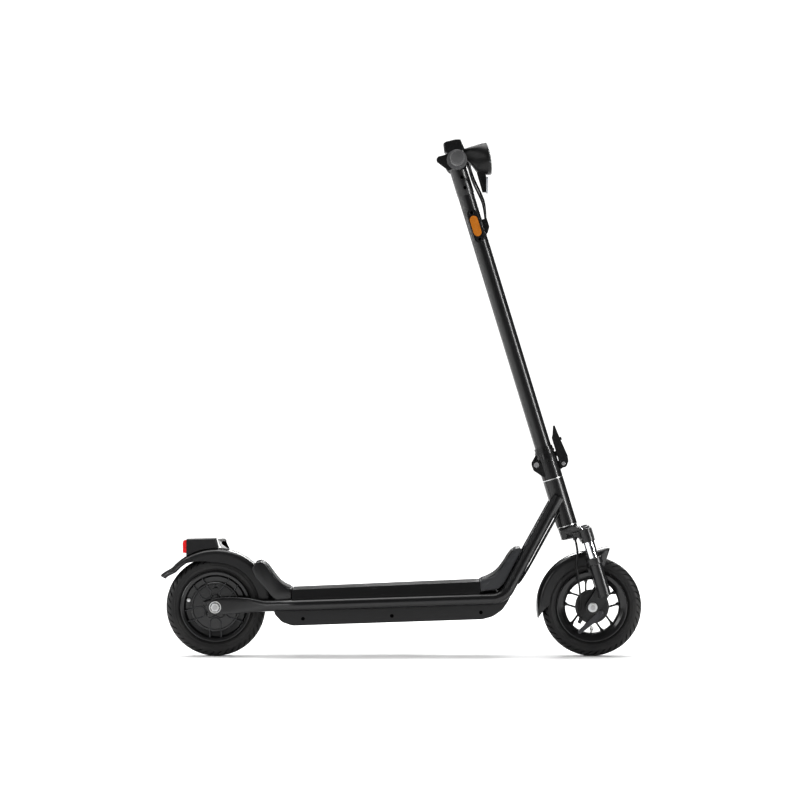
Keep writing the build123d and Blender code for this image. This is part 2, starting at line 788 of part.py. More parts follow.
# ---------------------------------------------------------------- deck
deck_rise = radians(2.45)
deck_rear_x = -263.0
deck_front_x = 188.0
deck_rear_z = 164.0
deck_top = Plane(
    origin=(deck_rear_x, 0, deck_rear_z),
    x_dir=(cos(deck_rise), 0, sin(deck_rise)),
    z_dir=(-sin(deck_rise), 0, cos(deck_rise)),
)
deck_length = (deck_front_x - deck_rear_x) / cos(deck_rise)
deck_skirt = 23.0
skirt_wall = 5.0
plate_top = deck_top.offset(-mat_thickness)
deck_middle = deck_length / 2

with BuildPart() as deck_plate:
    with BuildSketch(plate_top):
        with Locations((deck_middle, 0)):
            Rectangle(deck_length, 2 * deck_half_width)
    extrude(amount=-(deck_skirt - mat_thickness))
    with BuildSketch(plate_top.offset(-plate_thickness)):
        with Locations((deck_middle, 0)):
            Rectangle(deck_length, 2 * (deck_half_width - skirt_wall))
    extrude(amount=-deck_skirt, mode=Mode.SUBTRACT)
    fillet(deck_plate.edges().filter_by(lambda e: abs(e.center().Y) > deck_half_width - 0.1)
           .group_by(Axis.Z)[-1], radius=3.0)
finish_piece(deck_plate, "deck_plate")

with BuildPart() as deck_mat:
    with BuildSketch(plate_top):
        with Locations((deck_middle, 0)):
            RectangleRounded(deck_length - 2.0, 2 * deck_half_width - 8.0, 8.0)
    extrude(amount=mat_thickness)
finish_piece(deck_mat, "deck_mat")

hull_rear_x = -264.0
hull_rear_z = 76.5
hull_front_x = 196.0
hull_front_z = 92.0
hull_angle = atan2(hull_front_z - hull_rear_z, hull_front_x - hull_rear_x)
hull_floor = Plane(
    origin=(hull_rear_x, 0, hull_rear_z),
    x_dir=(cos(hull_angle), 0, sin(hull_angle)),
    z_dir=(-sin(hull_angle), 0, cos(hull_angle)),
)
hull_outline = (
    (-306.0, 108.0),
    (-284.0, 85.5),
    (hull_rear_x, hull_rear_z),
    (hull_front_x, hull_front_z),
    (228.0, 104.0),
    (248.0, 123.0),
    (257.0, 148.0),
    (226.0, 158.0),
    (deck_front_x - 1.0, 158.0),
    (deck_front_x - 1.0, 172.5),
    (deck_rear_x + 1.0, 153.5),
    (deck_rear_x + 1.0, 139.0),
    (-300.0, 132.0),
)
hull_upper_half = 54.0
stand_x = 40.0                  # kickstand pivot on the left side
stand_z = 97.0
hull_opening_half = 48.0
screw_places = ((-236.0, 93.4), (-22.3, 100.4), (191.7, 108.7))
with BuildPart() as deck_hull:
    with BuildSketch(side):
        Polygon(*hull_outline, align=None)
    extrude(amount=hull_half_width, both=True)
    fillet(
        deck_hull.edges().filter_by(lambda e: abs(e.center().Y) > hull_half_width - 0.1)
        .filter_by(lambda e: e.center().Z < 100.0),
        radius=6.0,
    )
    # Shoulders beside the rails
    for hull_hand in (-1, 1):
        with BuildSketch(at_right(side, hull_hand * hull_upper_half)):
            Polygon(
                (-330.0, rail_height(-330.0)),
                (270.0, rail_height(270.0)),
                (270.0, 200.0),
                (-330.0, 200.0),
                align=None,
            )
        extrude(amount=-hull_hand * 40.0, mode=Mode.SUBTRACT)
        with BuildSketch(at_right(side, hull_hand * hull_upper_half)):
            Polygon(
                (-330.0, rail_height(-330.0) - rail_radius - 0.4),
                (270.0, rail_height(270.0) - rail_radius - 0.4),
                (270.0, 200.0),
                (-330.0, 200.0),
                align=None,
            )
        extrude(amount=-hull_hand * 40.0, mode=Mode.SUBTRACT)
        with BuildLine() as rail_line:
            FilletPolyline(*rail_points(hull_hand), radius=rail_radii)
        with BuildSketch(Plane(origin=rail_line.line @ 0, z_dir=rail_line.line % 0)):
            Circle(rail_radius + parting_gap)
        sweep(path=rail_line.wire(), mode=Mode.SUBTRACT)
    # Battery bay, wide below the rails and open at the top between them
    with BuildSketch(side):
        Polygon(
            (-286.0, 106.0),
            (-272.0, 88.0),
            (hull_rear_x, hull_rear_z + hull_wall + 0.2),
            (hull_front_x, hull_front_z + hull_wall + 0.2),
            (224.0, 107.0),
            (236.0, rail_height(236.0) - rail_radius - 4.0),
            (-286.0, rail_height(-286.0) - rail_radius - 4.0),
            align=None,
        )
    extrude(amount=hull_half_width - hull_wall, both=True, mode=Mode.SUBTRACT)
    with BuildSketch(side):
        Polygon((-250.0, 84.0), (178.0, 96.0), (178.0, 200.0), (-250.0, 200.0), align=None)
    extrude(amount=hull_opening_half, both=True, mode=Mode.SUBTRACT)
    for place in screw_places:
        with BuildSketch(side):
            with Locations(place):
                Circle(2.0)
        extrude(amount=hull_half_width + 5.0, both=True, mode=Mode.SUBTRACT)
    # Kickstand boss on the left side
    with BuildSketch(at_right(side, hull_half_width)):
        with Locations((stand_x, stand_z)):
            Circle(10.5)
    extrude(amount=-4.0)
    with BuildSketch(at_right(side, hull_half_width - hull_wall)):
        with Locations((stand_x, stand_z)):
            Circle(4.0)
    extrude(amount=-18.0)
finish_piece(deck_hull, "deck_hull")

with BuildPart() as hull_screws:
    for place in screw_places:
        for screw_hand in (-1, 1):
            with BuildSketch(at_right(side, screw_hand * hull_half_width)):
                with Locations(place):
                    Circle(4.2)
            extrude(amount=-screw_hand * 2.4)
            with BuildSketch(at_right(side, screw_hand * hull_half_width)):
                with Locations(place):
                    Circle(2.0)
            extrude(amount=screw_hand * 8.0)
finish_piece(hull_screws, "hull_screws")

with BuildPart() as battery_pack:
    with BuildSketch(hull_floor.offset(hull_wall + 0.3)):
        with Locations((165.0, 0)):
            RectangleRounded(290.0, 92.0, 6.0)
    extrude(amount=54.0)
finish_piece(battery_pack, "battery_pack")

with BuildPart() as controller:
    with BuildSketch(hull_floor.offset(hull_wall + 0.3)):
        with Locations((375.0, 0)):
            RectangleRounded(100.0, 70.0, 4.0)
    extrude(amount=26.0)
    with BuildSketch(hull_floor.offset(hull_wall + 26.3)):
        with GridLocations(0, 10.0, 1, 6):
            with Locations((375.0, 0)):
                Rectangle(90.0, 3.0)
    extrude(amount=6.0)
finish_piece(controller, "controller")

with BuildPart() as front_kick:
    with BuildSketch(side):
        Polygon(
            (deck_front_x + 1.4, 182.8),
            (220.0, 196.0),
            (240.0, 213.0),
            (260.0, 243.0),
            (277.0, 262.5),
            (288.0, 263.5),
            (290.5, 257.0),
            (266.0, 212.0),
            (247.0, 178.0),
            (234.0, 165.0),
            (deck_front_x + 1.4, 158.5),
            align=None,
        )
    extrude(amount=deck_half_width, both=True)
    with BuildSketch(Plane.XY.offset(150.0)):
        Polygon(
            (deck_front_x, deck_half_width),
            (205.0, deck_half_width),
            (292.0, 57.0),
            (292.0, -57.0),
            (205.0, -deck_half_width),
            (deck_front_x, -deck_half_width),
            align=None,
        )
    extrude(amount=150.0, mode=Mode.INTERSECT)
    fillet(
        front_kick.edges().filter_by(lambda e: abs(e.center().Y) < 1.0 and e.center().Z > 190.0
                                     and e.length > 100.0),
        radius=1.6,
    )
finish_piece(front_kick, "front_kick")

rear_kick_half = 64.0
with BuildPart() as rear_kick:
    with BuildSketch(side):
        Polygon(
            (deck_rear_x - 0.3, 163.5),
            (-298.0, 184.0),
            (-315.0, 207.6),
            (-334.4, 222.2),
            (-357.0, 231.5),
            (-357.6, 226.5),
            (-342.0, 208.0),
            (-317.3, 168.7),
            (-277.0, rail_height(-277.0) + rail_radius + 0.3),
            (deck_rear_x - 0.3, rail_height(deck_rear_x) + rail_radius + 0.3),
            align=None,
        )
    extrude(amount=rear_kick_half, both=True)
    with BuildSketch(rear_wheel_side):
        Circle(rear_fender_radius)
    extrude(amount=fender_half_width + 1.0, both=True, mode=Mode.SUBTRACT)
finish_piece(rear_kick, "rear_kick")

# ---------------------------------------------------------------- tail light and folding hook
tail_light_half = 24.0
with BuildPart() as tail_light_housing:
    with BuildSketch(side):
        Polygon(
            (-519.0, 236.0),
            (-518.5, 282.0),
            (-448.0, 284.0),
            (-442.0, 262.0),
            (-442.0, 240.0),
            align=None,
        )
    extrude(amount=tail_light_half, both=True)
    fillet(
        tail_light_housing.edges().filter_by(lambda e: e.center().Z > 262.0 and abs(e.center().Y) > 20.0),
        radius=3.0,
    )
    with BuildSketch(rear_wheel_side):
        Circle(rear_fender_radius)
    extrude(amount=60.0, both=True, mode=Mode.SUBTRACT)
finish_piece(tail_light_housing, "tail_light_housing")

with BuildPart() as tail_light_lens:
    with BuildSketch(side):
        Polygon(
            (-519.0, 249.0),
            (-518.6, 280.0),
            (-526.0, 278.5),
            (-527.5, 272.0),
            (-527.0, 250.0),
            align=None,
        )
    extrude(amount=tail_light_half - 3.0, both=True)
finish_piece(tail_light_lens, "tail_light_lens")

hook_half = 11.0
with BuildPart() as fold_hook:
    with BuildSketch(side):
        with BuildLine():
            Polyline(
                (-441.0, 252.0),
                (-441.0, 279.0),
                (-436.0, 285.0),
                (-424.0, 285.0),
                (-416.5, 279.0),
                (-418.5, 276.5),
                (-426.0, 280.5),
                (-433.0, 280.0),
                (-436.0, 276.0),
                (-436.0, 266.0),
                (-415.0, 263.5),
                (-415.0, 252.0),
                (-441.0, 252.0),
            )
        make_face()
    extrude(amount=hook_half, both=True)
    with BuildSketch(rear_wheel_side):
        Circle(rear_fender_radius)
    extrude(amount=60.0, both=True, mode=Mode.SUBTRACT)
finish_piece(fold_hook, "fold_hook")

# ---------------------------------------------------------------- wiring harness
harness_radii = cord_radii(harness_points)
with BuildPart() as harness_cable:
    with BuildLine() as harness_path:
        FilletPolyline(*harness_points, radius=harness_radii)
    with BuildSketch(Plane(origin=harness_path.line @ 0, z_dir=harness_path.line % 0)):
        Circle(harness_radius)
    sweep()
print("harness radii", [round(r) for r in harness_radii], "length", round(harness_path.wire().length))
print("tube check", round(harness_cable.part.volume / (pi * harness_radius**2 * harness_path.wire().length), 4))
finish_piece(harness_cable, "harness_cable")

# ---------------------------------------------------------------- kickstand
stand_y = hull_half_width + 4.0 + parting_gap
with BuildPart() as kickstand_leg:
    with BuildSketch(at_right(side, stand_y)):
        with Locations((stand_x, stand_z)):
            Circle(9.0)
            Circle(4.0 + running_gap, mode=Mode.SUBTRACT)
    extrude(amount=-8.0)
    leg_from = Vector(stand_x - 7.0, stand_y + 4.5, stand_z)
    leg_to = Vector(stand_x - 80.0, stand_y + 34.0, stand_z)
    with BuildSketch(Plane(origin=leg_from, z_dir=leg_to - leg_from)):
        Circle(4.2)
    extrude(amount=(leg_to - leg_from).length)
    with BuildSketch(Plane(origin=leg_to, z_dir=(-1, 0, 0)).offset(-1.5)):
        SlotOverall(20.0, 10.0, rotation=90.0)
    extrude(amount=5.0)
    with BuildSketch(at_right(side, stand_y)):
        with Locations((stand_x, stand_z)):
            Circle(4.0 + running_gap)
    extrude(amount=-9.0, mode=Mode.SUBTRACT)
finish_piece(kickstand_leg, "kickstand_leg")

# ---------------------------------------------------------------- folding joint
knuckle_outer = 20.0
slot_half = fold_knuckle_half + parting_gap
knuckle_clear = fold_knuckle_radius + 0.5
lug_half = 6.5
with BuildPart() as fold_base:
    with BuildSketch(column.offset(head_top + cup_flange + parting_gap)):
        Circle(head_radius)
    extrude(amount=fold_seam - head_top - cup_flange - parting_gap)
    with BuildSketch(column_side):
        Polygon(
            (fold_pin_offset - fold_knuckle_radius, fold_seam),
            (fold_pin_offset - fold_knuckle_radius + 1.0, fold_seam - 12.0),
            (-22.0, fold_seam - 32.0),
            (-12.0, fold_seam - 32.0),
            (-12.0, fold_seam),
            align=None,
        )
        with Locations((fold_pin_offset, fold_seam)):
            Circle(fold_knuckle_radius)
    extrude(amount=knuckle_outer, both=True)
    with BuildSketch(column_side):
        with Locations((fold_pin_offset, fold_seam)):
            Circle(knuckle_clear)
        Polygon(
            (fold_pin_offset - 20.0, fold_seam - 14.0),
            (fold_pin_offset, fold_seam - 11.0),
            (fold_pin_offset, fold_seam + 20.0),
            (fold_pin_offset - 20.0, fold_seam + 20.0),
            align=None,
        )
    extrude(amount=slot_half, both=True, mode=Mode.SUBTRACT)
    # Front lug that carries the latch lever
    with BuildSketch(column_side):
        Polygon(
            (15.0, latch_pin_height - 14.0),
            (latch_pin_offset, latch_pin_height - 8.0),
            (latch_pin_offset, latch_pin_height + 8.0),
            (15.0, latch_pin_height + 12.0),
            align=None,
        )
        with Locations((latch_pin_offset, latch_pin_height)):
            Circle(8.0)
    extrude(amount=lug_half, both=True)
    with BuildSketch(column_side):
        with Locations((fold_pin_offset, fold_seam)):
            Circle(fold_pin_radius)
        with Locations((latch_pin_offset, latch_pin_height)):
            Circle(latch_pin_radius)
    extrude(amount=30.0, both=True, mode=Mode.SUBTRACT)
    with BuildSketch(column.offset(head_top)):
        Circle(steerer_radius)
    extrude(amount=16.0, mode=Mode.SUBTRACT)
    with BuildSketch(column.offset(head_top)):
        Circle(8.0)
    extrude(amount=60.0, mode=Mode.SUBTRACT)
finish_piece(fold_base, "fold_base")

lever_half = 12.0
with BuildPart() as fold_pins:
    with BuildSketch(column_side):
        with Locations((fold_pin_offset, fold_seam)):
            Circle(fold_pin_radius)
    extrude(amount=knuckle_outer, both=True)
    with BuildSketch(column_side):
        with Locations((latch_pin_offset, latch_pin_height)):
            Circle(latch_pin_radius)
    extrude(amount=lever_half, both=True)
    for pin_hand in (-1, 1):
        with BuildSketch(at_right(column_side, pin_hand * knuckle_outer)):
            with Locations((fold_pin_offset, fold_seam)):
                Circle(fold_pin_radius + 2.0)
        extrude(amount=-pin_hand * 1.6)
        with BuildSketch(at_right(column_side, pin_hand * (lever_half + parting_gap))):
            with Locations((latch_pin_offset, latch_pin_height)):
                Circle(latch_pin_radius + 1.8)
        extrude(amount=-pin_hand * 1.5)
        with BuildSketch(at_right(column_side, pin_hand * lever_half)):
            with Locations((latch_pin_offset, latch_pin_height)):
                Circle(latch_pin_radius)
        extrude(amount=-pin_hand * parting_gap)
finish_piece(fold_pins, "fold_pins")

with BuildPart() as latch_lever:
    with BuildSketch(column_side):
        with Locations((latch_pin_offset, latch_pin_height)):
            Circle(9.2)
        with BuildLine():
            Polyline(
                (26.6, latch_pin_height + 3.0),
                (27.0, 362.0),
                (26.8, 417.0),
                (31.0, 424.0),
                (38.5, 444.5),
                (42.0, 444.0),
                (43.0, 430.0),
                (50.5, 366.0),
                (48.5, 352.0),
                (44.0, 346.5),
                (26.6, latch_pin_height + 3.0),
            )
        make_face()
    extrude(amount=lever_half, both=True)
    # Channel that straddles the lug and the catch
    with BuildSketch(column_side):
        with BuildLine():
            Polyline(
                (20.0, 330.0),
                (20.0, 410.0),
                (36.0, 410.0),
                (44.6, 366.0),
                (46.0, 352.0),
                (46.0, 330.0),
                (20.0, 330.0),
            )
        make_face()
    extrude(amount=lug_half + 1.0, both=True, mode=Mode.SUBTRACT)
    with BuildSketch(column_side):
        with Locations((latch_pin_offset, latch_pin_height)):
            Circle(latch_pin_radius + running_gap)
    extrude(amount=30.0, both=True, mode=Mode.SUBTRACT)
    # Safety catch button on the lever's face
    with BuildSketch(Plane(origin=column_point(40.0, 410.0), z_dir=forward)):
        Circle(4.0)
    extrude(amount=9.0)
finish_piece(latch_lever, "latch_lever")

# ---------------------------------------------------------------- stem
stem_seam = fold_seam + parting_gap
with BuildPart() as stem_base:
    with BuildSketch(column_side):
        Polygon(
            (15.0, stem_seam),
            (head_radius, stem_seam),
            (head_radius, 374.0),
            (23.0, 386.0),
            (23.0, 388.0),
            (24.5, 388.0),
            (24.5, 393.0),
            (22.5, 393.0),
            (22.5, 402.0),
            (stem_radius, 402.0),
            (stem_radius, 372.0),
            (15.0, 372.0),
            align=None,
        )
    revolve(axis=Axis(front_axle_point, upward))
    with BuildSketch(column_side):
        Polygon(
            (fold_pin_offset - fold_knuckle_radius, fold_seam),
            (fold_pin_offset - fold_knuckle_radius + 1.5, fold_seam + 8.0),
            (-21.0, 390.0),
            (-17.0, 390.0),
            (-17.0, stem_seam),
            align=None,
        )
        with Locations((fold_pin_offset, fold_seam)):
            Circle(fold_knuckle_radius)
    extrude(amount=fold_knuckle_half, both=True)
    for knuckle_hand in (-1, 1):
        with BuildSketch(at_right(column_side, knuckle_hand * fold_knuckle_half)):
            with Locations((fold_pin_offset, fold_seam)):
                Circle(knuckle_clear)
        extrude(amount=-knuckle_hand * 30.0, mode=Mode.SUBTRACT)
    with BuildSketch(column_side):
        with Locations((fold_pin_offset, fold_seam)):
            Circle(fold_pin_radius + running_gap)
    extrude(amount=30.0, both=True, mode=Mode.SUBTRACT)
    # Steel catch under the lever
    with BuildSketch(column_side):
        Polygon((22.0, 371.0), (31.0, 373.0), (33.0, 381.0), (29.0, 384.0), (22.0, 384.0), align=None)
    extrude(amount=6.0, both=True)
    with BuildSketch(column.offset(372.0)):
        Circle(stem_radius)
    extrude(amount=60.0, mode=Mode.SUBTRACT)
finish_piece(stem_base, "stem_base")

reflector_height = 961.0
reflector_pad = stem_radius + 2.5
port_low = 938.0
port_high = 972.0
port_half = 9.0
with BuildPart() as stem_tube:
    with BuildSketch(column.offset(372.0)):
        Circle(stem_radius)
    extrude(amount=stem_top - 372.0)
    with BuildSketch(column_side):
        with Locations((0, reflector_height)):
            SlotOverall(85.0, 24.0, rotation=90.0)
    extrude(amount=reflector_pad, both=True)
    with BuildSketch(column_side):
        Polygon(
            (10.0, port_low - 12.0),
            (24.0, port_low),
            (31.5, port_low + 12.0),
            (31.5, port_high),
            (10.0, port_high),
            align=None,
        )
    extrude(amount=port_half, both=True)
    with BuildSketch(column.offset(372.0)):
        Circle(stem_bore)
    extrude(amount=stem_top - 372.0, mode=Mode.SUBTRACT)
    with BuildSketch(column.offset(port_high - 12.0)):
        with Locations((27.0, 4.3), (27.0, -4.3)):
            Circle(4.0)
    extrude(amount=20.0, mode=Mode.SUBTRACT)
finish_piece(stem_tube, "stem_tube")

with BuildPart() as side_reflectors:
    for reflector_hand in (-1, 1):
        with BuildSketch(at_right(column_side, reflector_hand * reflector_pad)):
            with Locations((0, reflector_height)):
                SlotOverall(51.0, 19.5, rotation=90.0)
        extrude(amount=-reflector_hand * 3.0)
finish_piece(side_reflectors, "side_reflectors")

# ---------------------------------------------------------------- handlebar
clamp_radius = 19.0
clamp_half = 26.0
sleeve_bottom = 1045.0
bar_side = Plane(origin=column_point(0, bar_height), x_dir=(1, 0, 0), z_dir=across)
bar_end = bar_length / 2 - 4.0
bar_grip_radius = 11.1
with BuildPart() as bar_clamp:
    with BuildSketch(column.offset(sleeve_bottom)):
        Circle(stem_radius + 2.0)
    extrude(amount=bar_height - sleeve_bottom)
    with BuildSketch(bar_side):
        Circle(clamp_radius)
    extrude(amount=clamp_half, both=True)
    with BuildSketch(column_side):
        with Locations((0, 1057.0), (0, 1083.0)):
            Circle(3.5)
    extrude(amount=stem_radius + 4.0, both=True)
    with BuildSketch(column.offset(sleeve_bottom)):
        Circle(stem_radius)
    extrude(amount=stem_top - sleeve_bottom, mode=Mode.SUBTRACT)
    with BuildSketch(bar_side):
        Circle(bar_radius)
    extrude(amount=60.0, both=True, mode=Mode.SUBTRACT)
finish_piece(bar_clamp, "bar_clamp")

bar_flare = 42.0
with BuildPart() as handlebar:
    with BuildSketch(bar_side):
        Circle(bar_grip_radius)
    extrude(amount=bar_end, both=True)
    with BuildSketch(bar_side):
        Circle(bar_radius)
    extrude(amount=bar_flare, both=True)
    for flare_hand in (-1, 1):
        with BuildSketch(at_right(bar_side, flare_hand * bar_flare)):
            Circle(bar_radius)
        extrude(amount=-flare_hand * 8.0, taper=9.9)
    with BuildSketch(bar_side):
        Circle(bar_grip_radius - 2.0)
    extrude(amount=bar_end, both=True, mode=Mode.SUBTRACT)
finish_piece(handlebar, "handlebar")

grip_start = 150.0
with BuildPart() as grips:
    for grip_hand in (-1, 1):
        grip_rings = ((grip_start, 4.0, 20.0), (grip_start + 4.0, bar_end - grip_start - 8.0, 16.0),
                      (bar_end - 4.0, 4.0, 18.0), (bar_end, 4.0, 15.0))
        for ring_y, ring_length, ring_radius in grip_rings:
            with BuildSketch(at_right(bar_side, grip_hand * ring_y)):
                Circle(ring_radius)
            extrude(amount=-grip_hand * ring_length)
    with BuildSketch(bar_side):
        Circle(bar_grip_radius)
    extrude(amount=bar_end, both=True, mode=Mode.SUBTRACT)
finish_piece(grips, "grips")

# Thumb throttle on the right, inboard of the grip
throttle_inner = 112.0
throttle_split = 134.0
throttle_outer = 142.0
with BuildPart() as throttle_housing:
    with BuildSketch(at_right(bar_side, -throttle_inner)):
        Circle(22.0)
        with Locations((10.0, -14.0)):
            Rectangle(22.0, 18.0)
        Circle(bar_grip_radius, mode=Mode.SUBTRACT)
    extrude(amount=throttle_split - throttle_inner)
finish_piece(throttle_housing, "throttle_housing")

with BuildPart() as throttle_paddle:
    with BuildSketch(at_right(bar_side, -(throttle_split + parting_gap))):
        Circle(24.5)
        Polygon(
            (-12.0, 20.0),
            (-31.0, 11.0),
            (-49.0, 1.5),
            (-47.0, -4.5),
            (-32.0, -13.0),
            (-19.0, -27.0),
            (-8.0, -22.0),
            align=None,
        )
        Circle(bar_grip_radius + running_gap, mode=Mode.SUBTRACT)
    extrude(amount=throttle_outer - throttle_split - parting_gap)
    with BuildSketch(at_right(bar_side, -(throttle_inner + 6.0))):
        Polygon((-27.0, 8.0), (-31.0, 11.0), (-49.0, 1.5), (-47.0, -4.5), (-27.0, 3.0), align=None)
    extrude(amount=throttle_outer - throttle_inner - 6.0)
finish_piece(throttle_paddle, "throttle_paddle")

# Brake lever and its perch on the left
perch_y = 126.0
lever_pivot_p = 30.0
lever_plane = Plane(origin=column_point(0, bar_height), x_dir=forward, z_dir=upward)
with BuildPart() as brake_perch:
    with BuildSketch(at_right(bar_side, perch_y - 9.0)):
        Circle(17.0)
        Circle(bar_grip_radius, mode=Mode.SUBTRACT)
    extrude(amount=-18.0)
    for cheek in (6.3, -12.3):
        with BuildSketch(lever_plane.offset(cheek)):
            with Locations((lever_pivot_p, perch_y)):
                Circle(9.0)
            Polygon((12.0, perch_y - 9.0), (lever_pivot_p, perch_y - 9.0), (lever_pivot_p, perch_y + 9.0),
                    (12.0, perch_y + 9.0), align=None)
        extrude(amount=6.0)
    with BuildSketch(lever_plane.offset(-7.0)):
        Polygon((13.0, perch_y - 12.0), (34.0, perch_y - 24.0), (34.0, perch_y - 14.0), (20.0, perch_y - 9.0),
                (13.0, perch_y - 8.0), align=None)
    extrude(amount=14.0)
    with BuildSketch(lever_plane.offset(-14.0)):
        with Locations((lever_pivot_p, perch_y)):
            Circle(3.5)
    extrude(amount=28.0)
    with BuildSketch(bar_side):
        Circle(bar_grip_radius)
    extrude(amount=bar_end, both=True, mode=Mode.SUBTRACT)
finish_piece(brake_perch, "brake_perch")

with BuildPart() as brake_lever:
    with BuildSketch(lever_plane.offset(-6.0)):
        with Locations((lever_pivot_p, perch_y)):
            Circle(8.5)
        Polygon(
            (lever_pivot_p - 4.0, perch_y + 6.0),
            (lever_pivot_p + 8.0, perch_y - 2.0),
            (62.0, perch_y + 22.0),
            (68.0, perch_y + 60.0),
            (64.0, perch_y + 112.0),
            (58.0, perch_y + 118.0),
            (53.0, perch_y + 112.0),
            (57.0, perch_y + 60.0),
            (52.0, perch_y + 30.0),
            align=None,
        )
        with Locations((lever_pivot_p, perch_y)):
            Circle(3.5 + running_gap, mode=Mode.SUBTRACT)
    extrude(amount=12.0)
finish_piece(brake_lever, "brake_lever")

# ---------------------------------------------------------------- display console
console_half = 38.0
with BuildPart() as console_housing:
    with BuildSketch(column_side):
        with BuildLine():
            Polyline((-16.0, 1174.0), (-19.5, 1154.0), (-12.0, 1142.5), (16.0, 1142.5), (28.4, 1147.0),
                     (25.5, 1171.5), (14.5, 1175.0), (-9.0, 1176.5), (-16.0, 1174.0))
        make_face()
    extrude(amount=console_half, both=True)
    fillet(console_housing.edges().filter_by(lambda e: abs(e.center().Y) > console_half - 0.1), radius=3.0)
    with BuildSketch(column.offset(1172.5)):
        with Locations((2.0, 0)):
            Rectangle(22.0, 58.0)
    extrude(amount=10.0, mode=Mode.SUBTRACT)
finish_piece(console_housing, "console_housing")

with BuildPart() as console_screen:
    with BuildSketch(column.offset(1172.5)):
        with Locations((2.0, 0)):
            Rectangle(21.8, 57.8)
    extrude(amount=2.4)
finish_piece(console_screen, "console_screen")

# ---------------------------------------------------------------- headlight
lamp_pitch = radians(8.6)
lamp_face = Vector(213.0, 0, 1203.0)
lamp_back = (-cos(lamp_pitch), 0, -sin(lamp_pitch))
lamp_section = Plane(origin=lamp_face, x_dir=lamp_back, z_dir=(0, 1, 0))
lamp_axis = Axis(lamp_face, lamp_back)
lamp_radius = 39.5
with BuildPart() as headlight_housing:
    with BuildSketch(lamp_section):
        Polygon(
            (0, 34.6),
            (0, 37.0),
            (5.0, lamp_radius),
            (31.0, lamp_radius),
            (38.0, 32.0),
            (38.0, 0),
            (31.0, 0),
            (28.0, 9.0),
            (8.0, 32.5),
            (5.0, 34.6),
            align=None,
        )
    revolve(axis=lamp_axis)
    with BuildSketch(side):
        Polygon((148.0, 1215.0), (184.0, 1230.0), (182.0, 1176.0), (174.0, 1185.0), (148.0, 1199.0), align=None)
    extrude(amount=17.0, both=True)
    with BuildSketch(side):
        Polygon((189.0, 1172.0), (204.0, 1172.0), (205.8, 1160.0), (205.8, 1121.0), (199.0, 1121.0),
                align=None)
    extrude(amount=12.0, both=True)
    with BuildSketch(bar_side):
        Circle(clamp_radius)
    extrude(amount=30.0, both=True, mode=Mode.SUBTRACT)
    with BuildSketch(column.offset(sleeve_bottom)):
        Circle(stem_radius + 2.0)
    extrude(amount=bar_height - sleeve_bottom, mode=Mode.SUBTRACT)
finish_piece(headlight_housing, "headlight_housing")

with BuildPart() as headlight_lens:
    with BuildSketch(lamp_section):
        with BuildLine():
            Polyline((-1.0, 34.4), (4.0, 34.4), (4.0, 0), (-4.5, 0))
            ThreePointArc((-4.5, 0), (-3.6, 18.0), (-1.0, 34.4))
        make_face()
    revolve(axis=lamp_axis)
finish_piece(headlight_lens, "headlight_lens")

with BuildPart() as front_reflector:
    with BuildSketch(Plane.YZ.offset(205.9)):
        with Locations((0, 1138.5)):
            RectangleRounded(42.0, 39.0, 4.0)
    extrude(amount=4.6)
finish_piece(front_reflector, "front_reflector")

# ---------------------------------------------------------------- cables at the handlebar
brake_line_points = [
    Vector(160.0, 101.0, 1202.0),
    Vector(164.0, 78.0, 1201.0),
    Vector(166.5, 52.0, 1192.0),
    Vector(170.0, 30.0, 1173.0),
    Vector(178.5, 13.0, 1148.0),
    Vector(193.0, 5.5, 1119.0),
    Vector(204.0, 4.0, 1090.0),
    column_point(27.0, port_high - 6.0, 4.3),
]
control_line_points = [
    Vector(151.0, -111.0, 1184.0),
    Vector(157.0, -88.0, 1183.0),
    Vector(163.0, -58.0, 1177.0),
    Vector(167.0, -34.0, 1163.0),
    Vector(175.0, -15.0, 1141.0),
    Vector(188.5, -6.0, 1115.0),
    Vector(200.5, -4.0, 1088.0),
    column_point(27.0, port_high - 6.0, -4.3),
]
with BuildPart() as bar_cables:
    for cable_name, cable_points in (("brake line", brake_line_points), ("control line", control_line_points)):
        line_radii = cord_radii(cable_points)
        with BuildLine() as line_path:
            FilletPolyline(*cable_points, radius=line_radii)
        with BuildSketch(Plane(origin=line_path.line @ 0, z_dir=line_path.line % 0)):
            Circle(brake_cable_radius)
        sweep(path=line_path.wire())
        print(cable_name, [round(r) for r in line_radii], "length", round(line_path.wire().length))
finish_piece(bar_cables, "bar_cables")
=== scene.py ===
import json
from math import atan2, cos, hypot, pi, radians, sin

